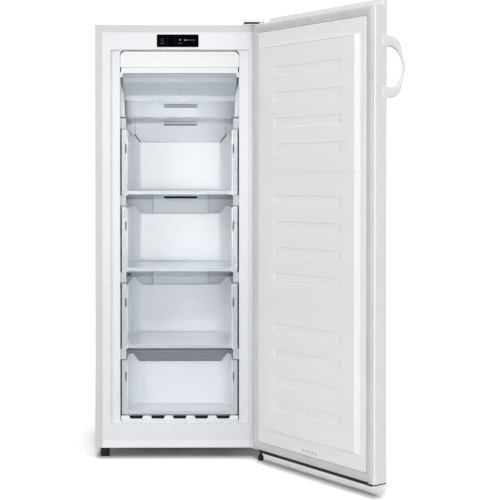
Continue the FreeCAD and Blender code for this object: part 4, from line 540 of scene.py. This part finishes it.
def dip_edges():
    """The thick edges of the dip in each tub's rear wall, which runs into the rounded corners; their dark
    colour is painted shade.
    """
    for number in DRAWERS:
        top_drawer = number == 1
        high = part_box("drawer_%d_front" % number)[1]
        back = TUB_BACKS[number - 1]
        bottom, top = high.z - DIP_BOTTOM, high.z - DIP_TOP
        thick = DIP_THICK_TOP_DRAWER if top_drawer else DIP_THICK
        bm = bmesh.new()
        for side in (-1, 1):
            rings = []
            for step in range(DIP_STEPS + 1):
                share = step / DIP_STEPS
                x = DIP_HALF + share * DIP_SPREAD
                z = bottom + share * (top - bottom)
                corners = []
                for along in (x, x + thick):
                    near = tub_wall(along, back, TUB_CORNER - DIP_INSIDE)
                    far = tub_wall(along, back, TUB_CORNER + DIP_OUTSIDE)
                    corners.append([(side * along, near, z), (side * along, far, z)])
                ring = [corners[0][0], corners[0][1], corners[1][1], corners[1][0]]
                rings.append([bm.verts.new(p) for p in ring])
            join_rings(bm, rings)
        if not top_drawer:
            add_prism(bm, bar_outline(DIP_HALF, bottom - DIP_FLOOR_LOW, bottom + DIP_FLOOR_HIGH),
                      back - DIP_FLOOR_INSIDE, back + DIP_OUTSIDE)
        # Painted shade: near-black on the top drawer, grey on the others, for how dark the dip's edges
        # look through the clear tub.
        finish_piece(bm, "drawer_%d_dip_edges" % number, SHADE_BLACK if top_drawer else SHADE_GREY,
                     "drawer_%d" % number)


def rack_shade_block():
    """A near-black block behind the notches of the bottom rack: painted shade for the unlit room behind
    them.
    """
    low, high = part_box("bottom_rack")
    bm = bmesh.new()
    add_block(bm, (low.x + WELL_INSET, WELL_FRONT, low.z + WELL_FLOOR),
              (high.x - WELL_INSET, WELL_BACK, high.z - WELL_CEILING))
    finish_piece(bm, "rack_shade_block", SHADE_BLACK, "cabinet")


def slot_shade_strips():
    """Near-black strips behind the air slots of the duct cover: painted shade that keeps the slots dark.
    """
    bm = bmesh.new()
    for z, height, y in SLOT_SHADES:
        reach = height / 2 + SLOT_SHADE_OVERLAP
        add_block(bm, (-SLOT_SHADE_HALF, y, z - reach), (SLOT_SHADE_HALF, y + SLOT_SHADE_THICK, z + reach))
    finish_piece(bm, "slot_shade_strips", SHADE_BLACK, "cabinet")


def duct_shade_lines():
    """Painted shadow: a dark line across the middle of the duct cover and a dark line down either side of
    it.
    """
    bm = bmesh.new()
    add_block(bm, (-SLOT_SHADE_HALF, DUCT_LINE_FRONT, DUCT_LINE[0]), (SLOT_SHADE_HALF, DUCT_FACE, DUCT_LINE[1]))
    for x in DUCT_SHADE_SIDES:
        add_block(bm, (x, DUCT_SHADE_FRONT, DUCT_SHADE_SPAN[0]), (x + DUCT_SHADE_WIDTH, DUCT_FACE, DUCT_SHADE_SPAN[1]))
    finish_piece(bm, "duct_shade_lines", EDGE_DARK, "cabinet")


def shelf_shade_line():
    """A dark bar along the front of the glass shelf: painted shadow for the gap under it."""
    bm = bmesh.new()
    add_prism(bm, bar_outline(SHELF_EDGE_HALF, SHELF_EDGE_LOW, SHELF_EDGE_HIGH), SHELF_EDGE_FRONT,
              SHELF_EDGE_BACK)
    finish_piece(bm, "shelf_shade_line", SHADE_GREY, "cabinet")


def flap_brackets():
    """Clear side brackets of the flap compartment, each with a dark line along its inner edge, which is
    painted shadow.
    """
    bm = bmesh.new()
    for side in (-1, 1):
        outline = BRACKET_LINE + BRACKET_WALL
        add_prism(bm, [(side * x, z) for x, z in outline], BRACKET_FRONT, BRACKET_BACK)
    finish_piece(bm, "flap_brackets", MARGIN_CLEAR, "cabinet")
    # Painted shadow: the dark line along each bracket's inner edge.
    bm = bmesh.new()
    for side in (-1, 1):
        outline = BRACKET_LINE + [(x + BRACKET_EDGE, z) for x, z in reversed(BRACKET_LINE)]
        add_prism(bm, [(side * x, z) for x, z in outline], BRACKET_EDGE_FRONT, BRACKET_EDGE_BACK)
    finish_piece(bm, "flap_bracket_shade_lines", EDGE_DARK, "cabinet")


drawer_margins()
dip_edges()
rack_shade_block()
slot_shade_strips()
duct_shade_lines()
shelf_shade_line()
flap_brackets()


# ---------------------------------------------------------------- feet
NUT_SIDES = 6
NUT_PROFILE = [(0.0066, 0.0292), (0.0082, 0.0294), (0.0086, 0.0300), (0.0086, 0.0340), (0.0082, 0.0346),
               (0.0066, 0.0348), (0.0066, 0.0292)]


def foot_nut():
    """Lock nut on the stud of the right foot."""
    low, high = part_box("front_right_foot")
    bm = bmesh.new()
    add_lathe(bm, NUT_PROFILE, ((low.x + high.x) / 2, (low.y + high.y) / 2, 0.0), "Z", NUT_SIDES)
    finish_piece(bm, "foot_nut", ZINC, "right_foot")


foot_nut()


# ---------------------------------------------------------------- handle
# the bow's upper half, as (reach from the door, height above its middle) in millimetres
HANDLE_OUTER = [(-0.2, 90.0), (8.0, 90.0), (20.0, 89.7), (33.0, 86.4), (45.7, 77.7), (54.0, 65.9),
                (59.3, 45.5), (67.5, 24.0), (70.5, 0.0)]
HANDLE_INNER = [(-0.2, 58.0), (8.0, 58.0), (17.0, 58.0), (26.0, 57.0), (36.0, 53.5), (45.0, 47.0),
                (53.5, 36.0), (61.5, 18.0), (65.0, 0.0)]
HANDLE_WIDTHS = [22.0, 22.0, 22.0, 21.0, 18.0, 14.5, 11.5, 9.0, 8.0]
HANDLE_MIDDLE = 1.238
HANDLE_SIDE = -0.2762
HANDLE_LINE_STEPS = 5
HANDLE_RING_STEPS = 20
HANDLE_ROUNDNESS = 0.42              # 1 gives an ellipse, 0 a rectangle
PLATE_ENDS = ((0.058, 0.090), (-0.090, -0.058))
PLATE_OUTLINE = ((0.0, -0.003), (0.0, 0.0186), (0.0006, 0.0192), (0.0014, 0.0192), (0.0014, -0.003))
DOOR_FACE = -0.0583


def smooth_line(points, steps):
    """Points of a Catmull-Rom curve through the given rows of numbers."""
    row = [points[0]] + list(points) + [points[-1]]
    made = []
    for a, b, c, d in zip(row, row[1:], row[2:], row[3:]):
        for step in range(steps):
            t = step / steps
            made.append([0.5 * (2 * q + (r - p) * t + (2 * p - 5 * q + 4 * r - v) * t * t
                                + (3 * q - p - 3 * r + v) * t ** 3) for p, q, r, v in zip(a, b, c, d)])
    return made + [list(points[-1])]


def handle_point(side, back, rise):
    """A point of the open door's handle: from its side plane, behind the door's face, above its middle."""
    return DOOR @ Vector((HANDLE_SIDE + side, DOOR_FACE + back, HANDLE_MIDDLE + rise))


def handle_bow():
    """The D-shaped bow: broad arms that narrow to a slender grip, on plates over the door's edge."""
    upper = [[*outer, *inner, width]
             for outer, inner, width in zip(HANDLE_OUTER, HANDLE_INNER, HANDLE_WIDTHS)]
    lower = [[outer, -outer_z, inner, -inner_z, width]
             for outer, outer_z, inner, inner_z, width in reversed(upper[:-1])]
    bm = bmesh.new()
    rings = []
    for outer, outer_z, inner, inner_z, width in smooth_line(upper + lower, HANDLE_LINE_STEPS):
        ring = []
        for step in range(HANDLE_RING_STEPS):
            a = 2 * math.pi * step / HANDLE_RING_STEPS
            u, v = [math.copysign(abs(f) ** HANDLE_ROUNDNESS, f) for f in (math.cos(a), math.sin(a))]
            reach = (outer + inner) / 2 + u * (outer - inner) / 2
            rise = (outer_z + inner_z) / 2 + u * (outer_z - inner_z) / 2
            side = width / 2 + v * width / 2
            ring.append(bm.verts.new(handle_point(side / 1000, -reach / 1000, rise / 1000)))
        rings.append(ring)
    join_rings(bm, rings)
    bow_sides = HANDLE_RING_STEPS * (len(rings) - 1)
    for ends in PLATE_ENDS:
        plate = [[bm.verts.new(handle_point(x, y, rise)) for x, y in PLATE_OUTLINE] for rise in ends]
        join_rings(bm, plate)
    piece = finish_piece(bm, "handle_bow", HANDLE_WHITE, "door")
    for polygon in piece.data.polygons:
        polygon.use_smooth = len(polygon.vertices) == 4 and polygon.index < bow_sides
    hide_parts("door_handle")


handle_bow()


# ---------------------------------------------------------------- door
# places on the closed door, which DOOR carries to the photographed one
PLUG_AT = (-0.184, 0.0, 1.3233)
PLUG_STEPS = 20
PLUG_PROFILE = [(0.0, 0.0088), (0.0056, 0.0092), (0.0056, 0.0101), (0.0044, 0.0109), (0.0024, 0.0112),
                (0.0, 0.0113)]
# Painted shade: the dark bar along the raised panel's upper edge.
PANEL_SHADE_LOW = (-0.2030, 0.0080, 1.3288)
PANEL_SHADE_HIGH = (0.2030, 0.0101, 1.3299)
SWEEP_FREE_GAP = 0.012
SWEEP_HINGE_END = 0.234
SWEEP_PROFILE = ((-0.0140, 0.0386), (-0.0138, 0.0362), (-0.0126, 0.0348), (-0.0104, 0.0346),
                 (-0.0090, 0.0352), (-0.0086, 0.0386))
# Painted shade: the dark bars in the slits at the foot of the door's plate.
VENT_MIDDLE = -0.002
VENT_PITCH = 0.014
VENT_COUNT = 5
VENT_HALF = 0.0012
VENT_DEPTHS = (-0.00305, -0.0018)
VENT_HEIGHTS = (0.0812, 0.0890)


def door_plug():
    """White plug in the upper free corner of the raised panel."""
    bm = bmesh.new()
    add_lathe(bm, PLUG_PROFILE, PLUG_AT, "Y", PLUG_STEPS, DOOR)
    finish_piece(bm, "door_plug", TRIM_WHITE, "door")


def panel_shade_line():
    """A fine dark bar along the upper edge of the raised panel: painted shade where its top edge lies in
    shadow.
    """
    bm = bmesh.new()
    add_block(bm, PANEL_SHADE_LOW, PANEL_SHADE_HIGH, DOOR)
    finish_piece(bm, "panel_shade_line", SHADE_GREY, "door")


def door_sweep():
    """Black rubber edge under the inner side of the door, clear of the hinge plate and the foot."""
    cabinet_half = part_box("top_panel")[1].x
    bm = bmesh.new()
    join_rings(bm, [[bm.verts.new(DOOR @ Vector((x, y, z))) for y, z in SWEEP_PROFILE]
                    for x in (-cabinet_half + SWEEP_FREE_GAP, SWEEP_HINGE_END)])
    finish_piece(bm, "door_sweep", RUBBER, "door")


def door_vent_shades():
    """Dark bars in the slits at the foot of the door's plate: painted shade for the slits' depth."""
    bm = bmesh.new()
    for index in range(VENT_COUNT):
        x = VENT_MIDDLE + (index - (VENT_COUNT - 1) / 2) * VENT_PITCH
        add_block(bm, (x - VENT_HALF, VENT_DEPTHS[0], VENT_HEIGHTS[0]),
                  (x + VENT_HALF, VENT_DEPTHS[1], VENT_HEIGHTS[1]), DOOR)
    finish_piece(bm, "door_vent_shades", DARK_PLASTIC, "door")


door_plug()
panel_shade_line()
door_sweep()
door_vent_shades()


# ---------------------------------------------------------------- machine room and back
SCREW_INSET = 0.010
SCREW_LOW = 0.36
SCREW_PITCH = 0.26
SCREW_ROWS = 5
SCREW_STEPS = 20
SCREW_PROFILE = [(0.0042, -0.0006), (0.0042, 0.0008), (0.0034, 0.0018), (0.0018, 0.0023), (0.0016, 0.0012),
                 (0.0, 0.0012)]
BOLT_INSET = 0.011
BOLT_STEPS = 18
BOLT_PROFILE = [(0.0085, 0.0), (0.0085, 0.0012), (0.0032, 0.0012), (0.0032, 0.0075), (0.0026, 0.0085),
                (0.0, 0.0085)]


def back_screws():
    """Screws down both edges of the back panel."""
    low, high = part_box("back_panel")
    bm = bmesh.new()
    for x in (low.x + SCREW_INSET, high.x - SCREW_INSET):
        for row in range(SCREW_ROWS):
            add_lathe(bm, SCREW_PROFILE, (x, high.y, SCREW_LOW + row * SCREW_PITCH), "Y", SCREW_STEPS)
    finish_piece(bm, "back_screws", STEEL, "cabinet")


def compressor_bolts():
    """Mounting bolts with their washers, on the compressor's grommets."""
    low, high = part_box("compressor_grommets")
    bm = bmesh.new()
    for x in (low.x + BOLT_INSET, high.x - BOLT_INSET):
        for y in (low.y + BOLT_INSET, high.y - BOLT_INSET):
            add_lathe(bm, BOLT_PROFILE, (x, y, high.z), "Z", BOLT_STEPS)
    finish_piece(bm, "compressor_bolts", STEEL, "cabinet")


back_screws()
compressor_bolts()


# ---------------------------------------------------------------- floor, light, camera
WORLD_LIGHT = 0.25
WORLD_SHOWN = 1.0
FLOOR_LIGHT = 0.27
FLOOR_SHOWN = 0.97
BACKDROP_GLOW = 0.60
GLOW_START = 0.8
GLOW_END = 2.6

FLOOR_HALF = 9.0
FLOOR_FRONT = -9.0
COVE_START = 3.2
COVE_RADIUS = 1.6
COVE_STEPS = 16
BACKDROP_TOP = 7.0

INNER_LIT = ["flap", "flap_shelf", "flap_brackets"]
INNER_LIT += ["drawer_%d_%s" % (number, part) for number in DRAWERS
              for part in ("tub", "front", "margins")]
UPPER_LIT = ["back_duct_cover"]
UPPER_SPREAD = math.radians(3.0)
# name, place, aim, size in metres, power in watts
LAMPS = (
    ("key", (-2.6, -4.4, 2.6), (0.1, 0.0, 0.7), (2.0, 1.6), 98.0),
    ("front", (0.7, -5.2, 1.15), (0.1, 0.0, 0.7), (2.6, 1.8), 86.0),
    ("top", (0.1, -0.9, 4.6), (0.1, -0.6, 0.0), (3.6, 3.0), 48.0),
    ("back", (0.9, 3.6, 4.2), (0.1, 0.0, 0.7), (2.4, 1.6), 40.0),
    ("side", (4.2, -4.0, 2.2), (0.3, 0.0, 0.7), (1.6, 1.6), 46.0),
    ("inner", (-0.05, -4.9, 0.85), (0.0, 0.0, 0.72), (5.0, 1.5), 54.0),
    ("upper", (0.0, -4.9, 1.17), (0.0, 0.0, 1.17), (1.2, 0.12), 0.22),
    ("floor_top", (0.1, -0.5, 4.8), (0.1, -0.4, 0.0), (3.0, 3.0), 190.0),
    ("floor_front", (0.0, -3.9, 3.5), (0.1, -0.3, 0.0), (0.9, 0.9), 120.0),
)

SENSOR_WIDTH = 36.0
FOCAL_PIXELS = 1155.3                # focal length and width of the photograph, both in pixels
PHOTO_PIXELS = 500.0
LENS_SHIFT = (0.105, -0.115)
CAMERA_AT = (0.03685, -3.76205, 0.91755)
CAMERA_YAW = 0.00572
CAMERA_PITCH = 0.012316
CAMERA_ROLL = -0.000223
CAMERA_CLIP = (0.05, 60.0)


def seen_directly(tree, light, shown):
    """One value for the light that falls on the object, another where the studio itself is seen."""
    path = tree.nodes.new("ShaderNodeLightPath")
    either = path.outputs["Is Camera Ray"]
    for other in ("Is Glossy Ray", "Is Transmission Ray"):
        larger = tree.nodes.new("ShaderNodeMath")
        larger.operation = "MAXIMUM"
        tree.links.new(either, larger.inputs[0])
        tree.links.new(path.outputs[other], larger.inputs[1])
        either = larger.outputs["Value"]
    strength = tree.nodes.new("ShaderNodeMapRange")
    strength.inputs["To Min"].default_value = light
    strength.inputs["To Max"].default_value = shown
    tree.links.new(either, strength.inputs["Value"])
    return strength.outputs["Result"]


def floor_material():
    """Matt white that glows a little further back, as a lit backdrop does."""
    material, tree, shader = new_material("studio_floor")
    at = place(tree)
    tree.links.new(seen_directly(tree, FLOOR_LIGHT, FLOOR_SHOWN), shader.inputs["Base Color"])
    tree.links.new(span(tree, noise(tree, at, 0.8), 0.75, 0.85), shader.inputs["Roughness"])
    depth = tree.nodes.new("ShaderNodeSeparateXYZ")
    tree.links.new(at, depth.inputs["Vector"])
    glow = tree.nodes.new("ShaderNodeMapRange")
    glow.inputs["From Min"].default_value = GLOW_START
    glow.inputs["From Max"].default_value = GLOW_END
    tree.links.new(depth.outputs["Y"], glow.inputs["Value"])
    tree.links.new(seen_directly(tree, 0.0, BACKDROP_GLOW), glow.inputs["To Max"])
    shader.inputs["Emission Color"].default_value = (1.0, 1.0, 1.0, 1.0)
    tree.links.new(glow.outputs["Result"], shader.inputs["Emission Strength"])
    return material


def studio_floor():
    """The floor, its cove and the backdrop, in one sheet."""
    cove = []
    for step in range(COVE_STEPS + 1):
        a = math.pi / 2 * step / COVE_STEPS
        cove.append((COVE_START + COVE_RADIUS * math.sin(a), COVE_RADIUS - COVE_RADIUS * math.cos(a)))
    line = [(FLOOR_FRONT, 0.0)] + cove + [(COVE_START + COVE_RADIUS, BACKDROP_TOP)]
    bm = bmesh.new()
    rows = [[bm.verts.new((x, y, z)) for x in (-FLOOR_HALF, FLOOR_HALF)] for y, z in line]
    for a, b in zip(rows, rows[1:]):
        bm.faces.new((a[0], a[1], b[1], b[0]))
    mesh = bpy.data.meshes.new("floor")
    bm.to_mesh(mesh)
    bm.free()
    for polygon in mesh.polygons:
        polygon.use_smooth = True
    floor = bpy.data.objects.new("floor", mesh)
    bpy.context.scene.collection.objects.link(floor)
    mesh.materials.append(floor_material())
    return floor


def area_lamp(name, at, target, size, energy):
    data = bpy.data.lights.new(name, "AREA")
    data.shape = "RECTANGLE"
    data.size, data.size_y = size
    data.energy = energy
    lamp = bpy.data.objects.new(name, data)
    lamp.location = at
    lamp.rotation_mode = "QUATERNION"
    lamp.rotation_quaternion = (Vector(target) - Vector(at)).to_track_quat("-Z", "Y")
    bpy.context.scene.collection.objects.link(lamp)
    return lamp


def studio_lamps(floor):
    """The lamps, and by light linking what each of them reaches."""
    lamps = {row[0]: area_lamp(*row) for row in LAMPS}
    lamps["upper"].data.spread = UPPER_SPREAD
    for group_name, names, state in (("off_floor", ("key", "front", "side"), "EXCLUDE"),
                                     ("floor_only", ("floor_top", "floor_front"), "INCLUDE")):
        group = bpy.data.collections.new(group_name)
        group.objects.link(floor)
        group.collection_objects[0].light_linking.link_state = state
        for name in names:
            lamps[name].light_linking.receiver_collection = group
    for lamp_name, lit in (("inner", INNER_LIT), ("upper", UPPER_LIT)):
        group = bpy.data.collections.new(lamp_name + "_only")
        for name in lit:
            group.objects.link(NODES[name] if name in NODES else bpy.data.objects[name])
        lamps[lamp_name].light_linking.receiver_collection = group


def studio_world():
    world = bpy.data.worlds.new("studio")
    bpy.context.scene.world = world
    world.use_nodes = True
    tree = world.node_tree
    background = tree.nodes["Background"]
    background.inputs["Color"].default_value = (1.0, 1.0, 1.0, 1.0)
    tree.links.new(seen_directly(tree, WORLD_LIGHT, WORLD_SHOWN), background.inputs["Strength"])


def render_settings():
    bpy.context.scene.view_settings.view_transform = "Standard"
    bpy.context.scene.cycles.transparent_max_bounces = 32
    bpy.context.scene.cycles.diffuse_bounces = 8
    bpy.context.scene.cycles.max_bounces = 16


def camera():
    """The photograph's view: part of its offset is lens shift, the rest a small turn."""
    data = bpy.data.cameras.new("camera")
    data.sensor_width = SENSOR_WIDTH
    data.lens = SENSOR_WIDTH * FOCAL_PIXELS / PHOTO_PIXELS
    data.shift_x, data.shift_y = LENS_SHIFT
    data.clip_start, data.clip_end = CAMERA_CLIP
    cam = bpy.data.objects.new("camera", data)
    cam.location = CAMERA_AT
    yaw = Matrix.Rotation(-CAMERA_YAW, 4, "Z")
    pitch = Matrix.Rotation(math.pi / 2 - CAMERA_PITCH, 4, "X")
    roll = Matrix.Rotation(CAMERA_ROLL, 4, "Z")
    cam.rotation_mode = "QUATERNION"
    cam.rotation_quaternion = (yaw @ pitch @ roll).to_quaternion()
    bpy.context.scene.collection.objects.link(cam)
    bpy.context.scene.camera = cam


studio_lamps(studio_floor())
studio_world()
render_settings()
camera()
